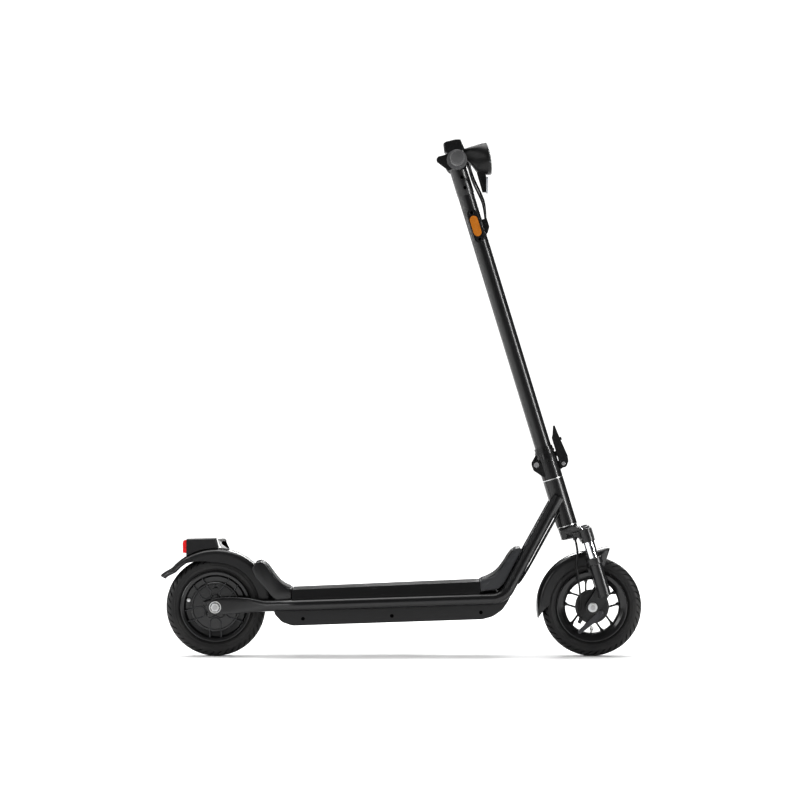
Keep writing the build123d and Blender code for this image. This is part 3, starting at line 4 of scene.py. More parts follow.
import bmesh
import bpy
import numpy as np
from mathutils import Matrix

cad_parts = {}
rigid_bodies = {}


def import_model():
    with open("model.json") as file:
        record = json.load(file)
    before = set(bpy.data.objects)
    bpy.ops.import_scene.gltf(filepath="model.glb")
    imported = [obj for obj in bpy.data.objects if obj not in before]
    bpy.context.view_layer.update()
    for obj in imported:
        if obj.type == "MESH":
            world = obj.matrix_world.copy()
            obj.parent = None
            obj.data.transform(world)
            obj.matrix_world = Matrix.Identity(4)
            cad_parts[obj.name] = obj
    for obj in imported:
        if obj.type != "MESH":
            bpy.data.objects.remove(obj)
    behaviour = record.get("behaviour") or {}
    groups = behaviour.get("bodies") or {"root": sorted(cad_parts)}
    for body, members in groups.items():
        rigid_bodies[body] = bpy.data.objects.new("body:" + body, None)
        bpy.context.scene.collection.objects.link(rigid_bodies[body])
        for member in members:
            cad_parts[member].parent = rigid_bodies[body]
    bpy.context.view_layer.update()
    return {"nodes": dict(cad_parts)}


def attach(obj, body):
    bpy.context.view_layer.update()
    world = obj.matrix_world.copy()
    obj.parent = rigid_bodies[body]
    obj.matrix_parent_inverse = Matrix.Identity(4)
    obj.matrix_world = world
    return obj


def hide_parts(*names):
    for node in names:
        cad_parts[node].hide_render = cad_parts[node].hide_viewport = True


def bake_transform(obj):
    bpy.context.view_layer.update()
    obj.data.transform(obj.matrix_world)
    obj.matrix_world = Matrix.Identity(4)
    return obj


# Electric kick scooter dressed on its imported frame. +X forward, +Y left, +Z up.
# Shapes are worked out in millimetres and written in metres.
for leftover in list(bpy.data.objects):
    bpy.data.objects.remove(leftover)
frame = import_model()
MM = 0.001
WELD = 1e-6             # points of a piece nearer than this, in metres, become one
TILT = radians(17.0)    # how far the steering column leans back
FORWARD = np.array((cos(TILT), 0.0, sin(TILT)))
UPWARD = np.array((-sin(TILT), 0.0, cos(TILT)))
LEFT = np.array((0.0, 1.0, 0.0))
FRONT_AXLE = (461.0, 120.0)     # (x, z), as the rear axle
REAR_AXLE = (-448.0, 120.0)
LEG_SPREAD = 52.0       # from the middle to each fork leg
RAIL_SLOPE = 0.03195    # rise of the side rails for each millimetre forward
RIB_PITCH = 5.0         # between the ribs of the deck's rubber
PAIRS = 5               # spoke pairs, and the motor covers' lobes and fins
PAIR_TURN = 360.0 / PAIRS


# ---------------------------------------------------------------- shader tools
class Field:
    """A number that changes over a surface: a shader socket that takes part in sums."""

    def __init__(self, finish, socket):
        self.finish = finish
        self.socket = socket

    def maths(self, operation, first, second=0.0):
        return self.finish.add("Math", {"operation": operation}, {0: first, 1: second})

    def __add__(self, other):
        return self.maths("ADD", self, other)

    def __sub__(self, other):
        return self.maths("SUBTRACT", self, other)

    def __rsub__(self, other):
        return self.maths("SUBTRACT", other, self)

    def __mul__(self, other):
        return self.maths("MULTIPLY", self, other)

    def __abs__(self):
        return self.maths("ABSOLUTE", self)

    __radd__ = __add__
    __rmul__ = __mul__

    def wave(self):
        return self.maths("SINE", self)

    def rise(self, start, end):
        """0 below start, 1 above end, eased between."""
        sockets = {"Value": self, "From Min": start, "From Max": end}
        return self.finish.add("MapRange", {"interpolation_type": "SMOOTHSTEP"}, sockets)


class Finish:
    """One material on the principled shader."""

    def __init__(self, name, **constants):
        self.material = bpy.data.materials.new(name)
        self.material.use_nodes = True
        self.tree = self.material.node_tree
        self.shader = self.tree.nodes["Principled BSDF"]
        for socket, value in constants.items():
            self.shader.inputs[socket.replace("_", " ")].default_value = value

    def add(self, kind, settings, sockets, output=0):
        """Adds a node of a type with its settings, then its sockets' values or links."""
        node = self.tree.nodes.new("ShaderNode" + kind)
        for name, value in settings.items():
            setattr(node, name, value)
        for name, value in sockets.items():
            self.feed(node.inputs[name], value)
        return Field(self, node.outputs[output])

    def feed(self, socket, value):
        if isinstance(value, Field):
            self.tree.links.new(value.socket, socket)
        else:
            socket.default_value = value

    def place(self):
        return self.add("TexCoord", {}, {}, "Object")

    def axes(self, vector=None):
        """The three parts of a vector."""
        split = self.add("SeparateXYZ", {}, {0: vector or self.place()}).socket.node
        return [Field(self, split.outputs[i]) for i in range(3)]

    def noise(self, scale, detail=3.0, stretch=None):
        where = self.place()
        if stretch:
            where = self.add("Mapping", {}, {"Vector": where, "Scale": stretch})
        return self.add("TexNoise", {}, {"Vector": where, "Scale": scale, "Detail": detail})

    def cells(self, scale):
        return self.add("TexVoronoi", {"feature": "F1"}, {"Vector": self.place(), "Scale": scale})

    def mix(self, share, first, second):
        """A colour between two, by a share from 0 to 1."""
        colours = {0: share, 6: self.colour(first), 7: self.colour(second)}
        return self.add("Mix", {"data_type": "RGBA"}, colours, 2)

    def colour(self, value):
        return value if isinstance(value, Field) else (*value, 1.0)

    def rounded_edges(self, radius):
        """The surface normal as if every edge had that radius."""
        return self.add("Bevel", {"samples": 3}, {"Radius": radius})

    def edge_mask(self, bent):
        """1 on edges and 0 on faces, from how far the rounded normal leaves the true one."""
        true = self.add("NewGeometry", {}, {}, "True Normal")
        dot = self.add("VectorMath", {"operation": "DOT_PRODUCT"}, {0: bent, 1: true}, "Value")
        return (1.0 - dot).rise(0.02, 0.25)

    def finish(self, colour=None, roughness=None, height=None, depth=0.0, normal=None):
        """Feeds the shader: colour, roughness, and a bump of a depth in metres."""
        if colour is not None:
            self.feed(self.shader.inputs["Base Color"], self.colour(colour))
        if roughness is not None:
            self.feed(self.shader.inputs["Roughness"], roughness)
        if height is not None:
            sockets = {"Strength": 1.0, "Distance": depth, "Height": height}
            if normal is not None:
                sockets["Normal"] = normal
            normal = self.add("Bump", {}, sockets)
        if normal is not None:
            self.feed(self.shader.inputs["Normal"], normal)
        return self.material


def painted(name, colour, rough, worn, peel=0.00002, edge=0.0007, **constants):
    """Coated metal or moulded plastic: fine grain, cloudy gloss, scuffs, and lighter edges that are part wear and
    part painted highlight.
    """
    coat = Finish(name, **{"Specular_IOR_Level": 0.22, **constants})
    bent = coat.rounded_edges(edge)
    edges = coat.edge_mask(bent) * coat.noise(60.0, 4.0).rise(0.35, 0.75)
    cloud = coat.noise(9.0, 4.0)
    scuffs = coat.noise(38.0, 6.0, (1.0, 1.0, 7.0)).rise(0.60, 0.78)
    dust = coat.axes(coat.add("NewGeometry", {}, {}, "Normal"))[2].rise(0.2, 1.0)
    dust = dust * coat.noise(22.0, 5.0).rise(0.40, 0.72)
    darker = tuple(0.82 * c for c in colour)
    lighter = tuple(1.20 * c for c in colour)
    shade = coat.mix(cloud, darker, lighter)
    # Edges mix towards the paler worn colour: part edge wear, part painted highlight.
    shade = coat.mix(edges * 0.55, shade, worn)
    shade = coat.mix(scuffs * 0.10 + dust * 0.08, shade, worn)
    rough_field = rough - 0.05 + cloud * 0.10 + scuffs * 0.08 + dust * 0.05 - edges * 0.06
    grain = coat.noise(1100.0, 2.0)
    return coat.finish(shade, rough_field, grain, peel, bent)


def rubbery(name, colour, rough, grain_scale, depth, dusty):
    """Rubber: dull, finely pitted, with pale dust in patches."""
    rubber = Finish(name, Specular_IOR_Level=0.26)
    dust = rubber.noise(14.0, 6.0).rise(0.42, 0.80) * 0.35
    fine = rubber.noise(grain_scale, 3.0)
    shade = rubber.mix(dust + fine * 0.12, colour, dusty)
    return rubber.finish(shade, rough + dust * 0.2 - fine * 0.06, fine, depth)


def recess(name):
    """The unlit depth of a screw hole, faintly mottled."""
    dark = Finish(name, Specular_IOR_Level=0.0)
    return dark.finish(dark.mix(dark.noise(300.0), (0.0008, 0.0008, 0.0008), (0.002, 0.002, 0.002)), 0.9)


def metal(name, colour, rough, brushed, tarnish, depth=0.000008):
    """Bare or plated metal: brushing lines, a cloudy tarnish and soft scratches."""
    bare = Finish(name, Metallic=1.0)
    bent = bare.rounded_edges(0.0004)
    lines = bare.noise(260.0, 3.0, brushed)
    cloud = bare.noise(45.0, 5.0)
    shade = bare.mix(cloud.rise(0.35, 0.75) * 0.6, colour, tarnish)
    return bare.finish(shade, rough + lines * 0.10 + cloud * 0.06 - 0.06, lines, depth, bent)


def prismatic(name, colour, deep, pitch, painted_glow):
    """A moulded reflector: rows of small prisms under a smooth clear face, with a painted glow in its own colours.
    """
    lens = Finish(name, Coat_Weight=0.25, Coat_Roughness=0.06, Specular_IOR_Level=0.3)
    x, y, z = lens.axes()
    rows = (z * (2 * pi / pitch)).wave() * ((x + y) * (2 * pi / pitch)).wave()
    cells = abs(rows)
    shade = lens.mix(cells, deep, colour)
    lens.feed(lens.shader.inputs["Emission Color"], shade)
    lens.shader.inputs["Emission Strength"].default_value = painted_glow
    return lens.finish(shade, 0.30 + cells * 0.15, cells, 0.0003)


def ribbed_mat(name, colour, worn):
    """Deck rubber: pimpled, rubbed paler along its ribs."""
    mat = Finish(name, Specular_IOR_Level=0.3)
    rubbed = mat.noise(7.0, 5.0).rise(0.40, 0.75)
    pits = mat.cells(650.0)
    return mat.finish(mat.mix(rubbed * 0.45, colour, worn), 0.62 + rubbed * 0.18, pits, 0.00012)


def lamp_glass(name):
    """Clear lamp cover with fine upright flutes."""
    glass = Finish(name, Transmission_Weight=0.92, IOR=1.46, Coat_Weight=0.6)
    y = glass.axes()[1]
    flutes = (y * (2 * pi / 0.0045)).wave()
    shade = glass.mix(glass.noise(30.0), (0.90, 0.92, 0.94), (0.97, 0.98, 0.99))
    return glass.finish(shade, 0.05 + abs(flutes) * 0.04, flutes, 0.0002)


def display_glass(name):
    """Dark display under gloss, with five faint charge bars and a ring."""
    glass = Finish(name, Coat_Weight=1.0, Coat_Roughness=0.03)
    y = glass.axes()[1]
    bars = (y * (2 * pi / 0.0042)).wave().rise(0.2, 0.5) * (1.0 - abs(y).rise(0.0115, 0.0125))
    smears = glass.noise(90.0, 5.0)
    glass.feed(glass.shader.inputs["Emission Color"], glass.mix(bars, (0.0, 0.0, 0.0), (0.05, 0.16, 0.18)))
    glass.shader.inputs["Emission Strength"].default_value = 1.0
    return glass.finish((0.008, 0.009, 0.011), 0.10 + smears * 0.12)


# Paler colour for worn paint, scuffs and dust, and for the painted highlight along edges.
WEAR_AND_HIGHLIGHT = (0.055, 0.055, 0.058)
FINISHES = {
    "frame_black": painted("satin_black_powder_coat", (0.0085, 0.0085, 0.009), 0.34, WEAR_AND_HIGHLIGHT,
                           Coat_Weight=0.60, Coat_Roughness=0.26),
    "frame_grey": painted("dark_grey_powder_coat", (0.032, 0.033, 0.035), 0.40, (0.16, 0.16, 0.165)),
    "plastic_black": painted("black_moulded_plastic", (0.012, 0.012, 0.0125), 0.40, WEAR_AND_HIGHLIGHT, 0.00004,
                             Coat_Weight=0.12, Coat_Roughness=0.28),
    "fender_black": painted("black_fender_plastic", (0.012, 0.012, 0.0125), 0.38, WEAR_AND_HIGHLIGHT,
                            Coat_Weight=0.45, Coat_Roughness=0.14),
    "wheel_black": painted("black_cast_wheel", (0.0075, 0.0075, 0.008), 0.32, (0.12, 0.12, 0.125),
                           Coat_Weight=0.7, Coat_Roughness=0.10),
    "alloy_black": painted("black_anodised_casting", (0.012, 0.012, 0.0125), 0.34, (0.15, 0.15, 0.155),
                           Metallic=0.15, Coat_Weight=0.3, Coat_Roughness=0.12),
    "mat_rubber": ribbed_mat("deck_mat_rubber", (0.010, 0.010, 0.0105), (0.032, 0.031, 0.030)),
    "grip_rubber": rubbery("grip_rubber_compound", (0.060, 0.060, 0.062), 0.55, 900.0, 0.00006, (0.14, 0.14, 0.14)),
    "tyre_rubber": rubbery("tyre_rubber_compound", (0.013, 0.013, 0.0135), 0.55, 700.0, 0.00008,
                           (0.05, 0.048, 0.045)),
    "chrome_steel": metal("hard_chrome", (0.80, 0.81, 0.83), 0.10, (1.0, 1.0, 0.05), (0.62, 0.63, 0.66)),
    "zinc_steel": metal("bright_zinc_plate", (0.62, 0.63, 0.64), 0.30, (1.0, 6.0, 1.0), (0.50, 0.49, 0.46)),
    "steel": metal("machined_steel", (0.46, 0.46, 0.47), 0.32, (1.0, 8.0, 1.0), (0.34, 0.33, 0.32)),
    "dark_steel": metal("blackened_steel", (0.075, 0.075, 0.08), 0.36, (1.0, 6.0, 1.0), (0.04, 0.04, 0.042)),
    "alloy": metal("cast_alloy", (0.60, 0.61, 0.62), 0.45, (1.0, 1.0, 1.0), (0.45, 0.45, 0.46), 0.00003),
    "iron_core": metal("laminated_iron", (0.20, 0.19, 0.19), 0.50, (1.0, 20.0, 1.0), (0.14, 0.12, 0.11)),
    # The last number of each lens is the strength of its painted glow.
    "red_lens": prismatic("red_prism_lens", (0.78, 0.010, 0.012), (0.34, 0.003, 0.004), 0.0042, 0.35),
    "amber_lens": prismatic("amber_prism_lens", (0.58, 0.19, 0.0015), (0.25, 0.078, 0.001), 0.0040, 0.03),
    "white_reflector": prismatic("white_prism_lens", (0.55, 0.56, 0.58), (0.30, 0.31, 0.33), 0.0040, 0.02),
    "clear_lens": lamp_glass("fluted_lamp_glass"),
    "screen_glass": display_glass("display_glass_dark"),
    "cable_black": rubbery("cable_jacket", (0.008, 0.008, 0.0085), 0.40, 500.0, 0.00003, (0.03, 0.03, 0.03)),
    "hole_black": recess("screw_hole_black"),
    "battery_wrap": rubbery("battery_shrink_wrap", (0.02, 0.06, 0.16), 0.35, 120.0, 0.0002, (0.04, 0.10, 0.22)),
    "brake_lining": rubbery("brake_friction_lining", (0.10, 0.07, 0.05), 0.80, 400.0, 0.0002, (0.16, 0.13, 0.10)),
}
for node in frame["nodes"].values():
    node.data.materials[0] = FINISHES[node.data.materials[0].name.split(".")[0]]
frame["nodes"]["brake_arm"].data.materials[0] = FINISHES["dark_steel"]
# The hull screws take the near-black, unreflecting finish of a hole's unlit depth: part their own black, part
# painted shade of the recesses they sit in.
frame["nodes"]["hull_screws"].data.materials[0] = FINISHES["hole_black"]


# ---------------------------------------------------------------- shape tools
def shell(rows, wrap=False):
    """Quads over a grid of points whose columns close round. Wrap joins the last row to the
    first; otherwise each end is one flat face."""
    count, around = rows.shape[:2]
    index = np.arange(count * around).reshape(count, around)
    right = np.roll(index, -1, axis=1)
    last = count if wrap else count - 1
    above, above_right = np.roll(index, -1, axis=0), np.roll(right, -1, axis=0)
    faces = np.stack([index, right, above_right, above], -1)[:last].reshape(-1, 4).tolist()
    if not wrap:
        faces += [index[0].tolist(), index[-1].tolist()]
    return rows.reshape(-1, 3), faces


def placed(name, data):
    """A new object in the scene."""
    made = bpy.data.objects.new(name, data)
    bpy.context.scene.collection.objects.link(made)
    return made


def piece(name, shells, body, slot, node=None, sharp=38.0, look=None):
    """One mesh object from closed shells in millimetres, faces outward, riding on a body."""
    points, faces, start = [], [], 0
    for shell_points, shell_faces in shells:
        points.append(np.asarray(shell_points, float) * MM)
        faces += [[start + i for i in face] for face in shell_faces]
        start += len(shell_points)
    mesh = bpy.data.meshes.new(name)
    mesh.from_pydata(np.concatenate(points).tolist(), [], faces)
    work = bmesh.new()
    work.from_mesh(mesh)
    bmesh.ops.remove_doubles(work, verts=work.verts, dist=WELD)
    bmesh.ops.recalc_face_normals(work, faces=work.faces)
    work.to_mesh(mesh)
    work.free()
    mesh.polygons.foreach_set("use_smooth", [True] * len(mesh.polygons))
    mesh.set_sharp_from_angle(angle=radians(sharp))
    made = placed(name, mesh)
    mesh.materials.append(FINISHES[look or slot])
    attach(made, body)
    if node:
        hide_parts(*([node] if isinstance(node, str) else node))


def eased(corners, reach, passes=3):
    """Closed outline with eased corners: points are put a reach before and after each corner,
    but never past 0.45 of a run, then every run is cut at a quarter and three quarters of its
    length, pass after pass."""
    p = np.asarray(corners, float)
    back, ahead = np.roll(p, 1, 0) - p, np.roll(p, -1, 0) - p
    back_run = np.linalg.norm(back, axis=1, keepdims=True)
    ahead_run = np.linalg.norm(ahead, axis=1, keepdims=True)
    reach = np.broadcast_to(reach, len(p)).reshape(-1, 1)
    before = p + back / back_run * np.minimum(reach, 0.45 * back_run)
    after = p + ahead / ahead_run * np.minimum(reach, 0.45 * ahead_run)
    p = np.stack([before, p, after], 1).reshape(-1, 2)
    for _ in range(passes):
        q = np.roll(p, -1, 0)
        p = np.stack([0.75 * p + 0.25 * q, 0.25 * p + 0.75 * q], 1).reshape(-1, 2)
    return p


def outward(outline):
    """Outward unit normals of a closed outline: the run between neighbours turned a quarter,
    away from the side that its signed area says is inside."""
    run = np.roll(outline, -1, 0) - np.roll(outline, 1, 0)
    normal = np.stack([run[:, 1], -run[:, 0]], 1)
    normal /= np.maximum(np.linalg.norm(normal, axis=1, keepdims=True), 1e-9)
    x, z = outline.T
    area = np.sum(x * np.roll(z, -1) - np.roll(x, -1) * z)
    return normal * np.sign(area)


def slab(outline, inner, outer, edge, steps=4):
    """Side outline (x, z) carried across from inner to outer Y, its two rims rounded: towards
    each end it moves in by edge * (1 - cos) while it moves across by edge * sin."""
    turn = np.linspace(0, pi / 2, steps + 1)
    inset = edge * (1 - np.cos(turn))
    step = edge * (1 - np.sin(turn))
    insets = np.concatenate([inset[::-1], inset])
    inner, outer = np.broadcast_to(inner, len(outline)), np.broadcast_to(outer, len(outline))
    across = np.concatenate([inner + step[::-1, None], outer - step[:, None]])
    flat = outline[None] - outward(outline)[None] * insets[:, None, None]
    return shell(np.stack([flat[..., 0], across, flat[..., 1]], -1))


def circle(steps):
    """Angles evenly round a full turn."""
    return np.linspace(0, 2 * pi, steps, endpoint=False)


def polar(centre, radius, y, angle):
    """Points at a radius and angle round a line across the scooter at (x, z)."""
    x, z = centre[0] + radius * np.cos(angle), centre[1] + radius * np.sin(angle)
    return np.stack(np.broadcast_arrays(x, y, z), -1)


def turned(profile, centre, steps=128):
    """Closed profile of (Y, radius) turned all round a line across the scooter at (x, z)."""
    y, r = np.asarray(profile, float).T
    return shell(polar(centre, r, y, circle(steps)[:, None]), wrap=True)


def spun(profile, base, axis, side, steps=48, ring=False):
    """Solid of revolution: profile of (height, radius) round an axis from a base point. Side is
    any direction square to the axis. A ring's profile closes on itself round an open middle."""
    h, r = np.asarray(profile, float).T
    axis, side = np.asarray(axis, float), np.asarray(side, float)
    third = np.cross(axis, side)
    angle = circle(steps)[None, :, None]
    around = np.cos(angle) * side + np.sin(angle) * third
    return shell(np.asarray(base, float) + h[:, None, None] * axis + r[:, None, None] * around, ring)


def column(p, y, s):
    """Points p in front of the steering axis, y to the left, s up it from the front axle."""
    p, y, s = np.broadcast_arrays(p, y, s)
    origin = np.array((FRONT_AXLE[0], 0.0, FRONT_AXLE[1]))
    return origin + p[..., None] * FORWARD + y[..., None] * LEFT + s[..., None] * UPWARD


def on_column(shells):
    """Shells drawn as (p, y, s) moved to the steering column."""
    return [(column(points[:, 0], points[:, 1], points[:, 2]), faces) for points, faces in shells]


def both_hands(made):
    """A shell and its mirror image on the other side."""
    return [made, (made[0] * (1, -1, 1), made[1])]


def squared(value, power):
    """A sine or cosine pushed outward by a power under 1, which squares up the ring it draws."""
    return np.sign(value) * np.abs(value) ** power


def loft(stations, power):
    """Body through upright sections. A station is (x, x, bottom z, top z, inner y, outer y),
    with the x of its foot and of its top; each section is a ring squared by a power from
    0.3 (boxy) to 1 (oval)."""
    foot_x, top_x, low, high, inner, outer = np.asarray(stations, float).T[:, :, None]
    turn = circle(48)
    power = np.asarray(power, float)[:, None]
    wide = squared(np.cos(turn), power)
    share = 0.5 + 0.5 * squared(np.sin(turn), power)
    x = foot_x + (top_x - foot_x) * share
    y = (inner + outer) / 2 + (outer - inner) / 2 * wide
    return shell(np.stack([x, y, low + (high - low) * share], -1))


def strip(course, thick, half):
    """Pad along a curved face: the course of (x, z) points is evened out at 1 mm and smoothed
    over 13, and a copy is lifted off it by the thickness and ribs; half is its half width at
    the course's start and end."""
    rib, reach = 0.8, 6
    window = np.ones(2 * reach + 1) / (2 * reach + 1)
    course = np.asarray(course, float)
    length = np.concatenate([[0], np.cumsum(np.linalg.norm(np.diff(course, axis=0), axis=1))])
    even = np.linspace(0, length[-1], int(length[-1]))
    line = np.stack([np.interp(even, length, course[:, 0]), np.interp(even, length, course[:, 1])], 1)
    padded = np.concatenate([np.repeat(line[:1], reach, 0), line, np.repeat(line[-1:], reach, 0)])
    smooth = np.stack([np.convolve(padded[:, k], window, "valid") for k in (0, 1)], 1)
    line[reach:-reach] = smooth[reach:-reach]
    run = np.gradient(line, axis=0)
    normal = np.stack([-run[:, 1], run[:, 0]], 1) / np.linalg.norm(run, axis=1, keepdims=True)
    ends = ease(even, 0, 4) * (1 - ease(even, length[-1] - 4, length[-1]))
    lift = thick * ends + rib * np.abs(np.sin(even / RIB_PITCH * pi)) * ends + 0.1
    outline = np.concatenate([line - normal * 1.0, (line + normal * lift[:, None])[::-1]])
    width = np.interp(even, (0, length[-1]), half)
    width = np.concatenate([width, width[::-1]])
    return slab(outline, -width, width, 0.4, 2)


def ease(value, start, end):
    """0 below start, 1 above end, and 3t^2 - 2t^3 between."""
    t = np.clip((value - start) / (end - start), 0, 1)
    return t * t * (3 - 2 * t)


# ---------------------------------------------------------------- wheels
def tyre(name, axle, body, node):
    """Balloon tyre. The section is a squarish ring of half width 28 and half height 19 round
    radius 101. Chevron grooves run over both shoulders: the grid leans with them, so each is
    a band of columns pushed in, and two thin rings are pushed in beside the middle rib. Two
    fine lines stand out on each sidewall."""
    half, height, middle, pitches = 28.0, 19.0, 101.0, 42
    groove_depth, ring_depth, upper_line, lower_line = 2.6, 1.8, 0.5, 0.6
    lean = [0, 2, 4.2, 5.0, 7.5, 8.3, 10, 12, 13.5, 15.5, *range(18, 79, 3), 80, 83, 87, 90, 93, 94.5,
            96, 97.5, 100, 106, 112, 114, 115, 117, 118, 121, 126, 132, 138]
    lean = np.array(lean, float)
    lean = np.concatenate([-lean[:0:-1], lean])
    off = np.abs(lean)
    turn = np.radians(90.0 - lean)
    y = half * squared(np.cos(turn), 0.82)
    r = height * squared(np.sin(turn), 0.90)
    columns = np.array([0, 0.12, 0.22, 0.28, 0.30, 0.34, 0.41, 0.48, 0.52, 0.54, 0.64, 0.82])
    phase = (np.arange(pitches)[:, None] + columns).reshape(-1, 1) / pitches * 2 * pi
    share = np.tile(columns, pitches)[:, None]
    groove = ease(share, 0.28, 0.34) * (1 - ease(share, 0.48, 0.54))
    along = np.clip((off - 13.0) / 63.0, 0, 1)
    sweep = 0.155 * along ** 1.35
    depth = groove_depth * groove * ease(along, 0.0, 0.05) * (1 - ease(along, 0.86, 1.0))
    depth = depth + ring_depth * ease(off, 4.4, 5.0) * (1 - ease(off, 7.5, 8.2))
    depth = depth - upper_line * ease(off, 93, 95) * (1 - ease(off, 96, 98))
    depth = depth - lower_line * ease(off, 113, 115) * (1 - ease(off, 117, 119))
    shrink = 1 - depth / np.hypot(y, r)
    angle = phase + sweep
    outer_y, outer_r = y * shrink, middle + r * shrink
    inside = np.array([(-20.5, 82.5), (-15, 82), (-22, 99), (-14, 109.5), (14, 109.5), (22, 99), (15, 82),
                       (20.5, 82.5)])[::-1]
    ones = np.ones_like(phase)
    ring_y = np.concatenate([outer_y * np.ones_like(angle), ones * inside[:, 0]], 1)
    ring_r = np.concatenate([outer_r, ones * inside[:, 1]], 1)
    ring_a = np.concatenate([angle, phase + sweep[-1] + 0 * inside[:, 0]], 1)
    rows = polar(axle, ring_r, ring_y, ring_a)
    piece(name, [shell(rows, wrap=True)], body, "tyre_rubber", node, 32.0)


tyre("front_tyre_tread", FRONT_AXLE, "front_wheel", "front_tyre")
tyre("rear_tyre_tread", REAR_AXLE, "rear_wheel", "rear_tyre")

RIM_OUTSIDE = ((24.0, 85.2), (21.2, 85.6), (21.0, 82.0), (14.0, 81.5), (11.0, 76.0))


def rim_section(inside):
    """Rim section: an inside half given as (Y, radius) from lip to middle, the bead seats and
    the well, mirrored across the wheel and eased at its corners."""
    right = [(-y, r) for y, r in RIM_OUTSIDE]
    return eased([*inside, *[(-y, r) for y, r in inside[::-1]], *right, *RIM_OUTSIDE[::-1]], 1.6, 2)


def spoke(axle, angle, offset, start, end):
    """Cast spoke: a rounded bar along a wheel's radius, offset to one side of it, wider and
    deeper where it runs into the hub and the rim."""
    a = np.linspace(start, end, 14)[:, None]
    hub_flare, rim_flare, run = 2.2, 3.0, 9.0
    flare = (1 - ease(a, start, start + run)) * hub_flare + ease(a, end - run, end) * rim_flare
    corner = circle(20)
    wide = squared(np.cos(corner), 0.5) * (2.5 + flare)
    waist = 1.5 * np.sin((a - start) / (end - start) * pi)
    deep = squared(np.sin(corner), 0.5) * (8.5 - waist)
    side = offset + wide
    x = axle[0] + a * cos(angle) - side * sin(angle)
    z = axle[1] + a * sin(angle) + side * cos(angle)
    return shell(np.stack([x, deep, z], -1))


front_inside = [(24.6, 83.0), (23.6, 75.0), (20.0, 67.5), (14.0, 64.5)]
hub = eased([(27, 9), (27, 25), (8, 25), (-2, 28), (-4, 32), (-4, 41), (-26, 41), (-26, 36.5), (-9, 36.5), (-9, 9)],
            1.5, 2)
front_parts = [turned(rim_section(front_inside), FRONT_AXLE, 160), turned(hub, FRONT_AXLE, 96)]
hub_edge, sink, well_edge, half_gap = 28.5, 3.5, 64.0, 14.5
for number in range(PAIRS):
    spoke_angle = radians(90.0 + PAIR_TURN * number)
    for offset in (-half_gap, half_gap):
        reach_in = (hub_edge ** 2 - offset ** 2) ** 0.5 - sink
        front_parts.append(spoke(FRONT_AXLE, spoke_angle, offset, reach_in, well_edge))
piece("front_cast_wheel", front_parts, "front_wheel", "wheel_black", "front_rim")

VALVE_STEM = ((0, 3.2), (8, 3.2), (8.2, 4.2), (9, 4.8), (17, 4.8), (18.4, 4.2), (18.8, 1.6))
valve_foot = (FRONT_AXLE[0], 0.0, FRONT_AXLE[1] - 66.0)
piece("front_valve_cap", [spun(VALVE_STEM, valve_foot, (0, 0, 1), (1, 0, 0), 24)], "front_wheel", "zinc_steel")

rear_inside = [(24.6, 83.0), (24.0, 76.5), (20.0, 73.8), (18.5, 72.0), (18.0, 57.0)]
piece("rear_rim_ring", [turned(rim_section(rear_inside), REAR_AXLE, 160)], "rear_wheel", "wheel_black", "rear_rim")
valve_angle, valve_reach = radians(166.0), 66.5
valve_foot = (REAR_AXLE[0] + valve_reach * cos(valve_angle), -17.0, REAR_AXLE[1] + valve_reach * sin(valve_angle))
short_valve = [(0.75 * h, r) for h, r in VALVE_STEM]
piece("rear_valve_cap", [spun(short_valve, valve_foot, (0, -1, 0), (1, 0, 0), 24)], "rear_wheel", "zinc_steel")


def motor_cover(hand):
    """Motor cover on one side: a disc of radius 60 whose height rises at its rim and over a
    five-lobed middle, with one small three-sided dent above the axle, closed at the back."""
    radius = np.array([7.0, 12, 17, 20, 22, 23.5, 25, 26.5, 28, 29.5, 31, 33, 36, 40, 43, 44.5, 46, 47.5, 49, 50.5,
                       52, 53.5, 54.5, 55.5, 57, 58.2, 59.2, 59.8])
    angle = circle(360)[:, None]
    x, z = radius * np.cos(angle), radius * np.sin(angle)
    lobe = 25.5 + 4.5 * np.cos(PAIRS * (angle - radians(90.0)))
    height = 29.0 + 3.2 * (1 - ease(radius, lobe - 1.2, lobe + 1.2)) + 0 * x
    height = height + 1.6 * ease(radius, 54.0, 55.2) * (1 - ease(radius, 58.2, 60.2))
    sides = [x * cos(a) + (z - 48.5) * sin(a) for a in (radians(90), radians(210), radians(330))]
    dent = np.maximum(np.maximum(-sides[0], -sides[1]), -sides[2])
    height = height - 2.4 * (1 - ease(dent, 2.4, 3.6))
    wall = np.array([(60.0, 28.2), (60.0, 17.4), (7.0, 17.4)])
    ones = np.ones_like(angle)
    radius = np.concatenate([radius * ones, wall[:, 0] * ones], 1)
    height = np.concatenate([height, wall[:, 1] * ones], 1)
    return shell(polar(REAR_AXLE, radius, hand * height, angle), wrap=True)


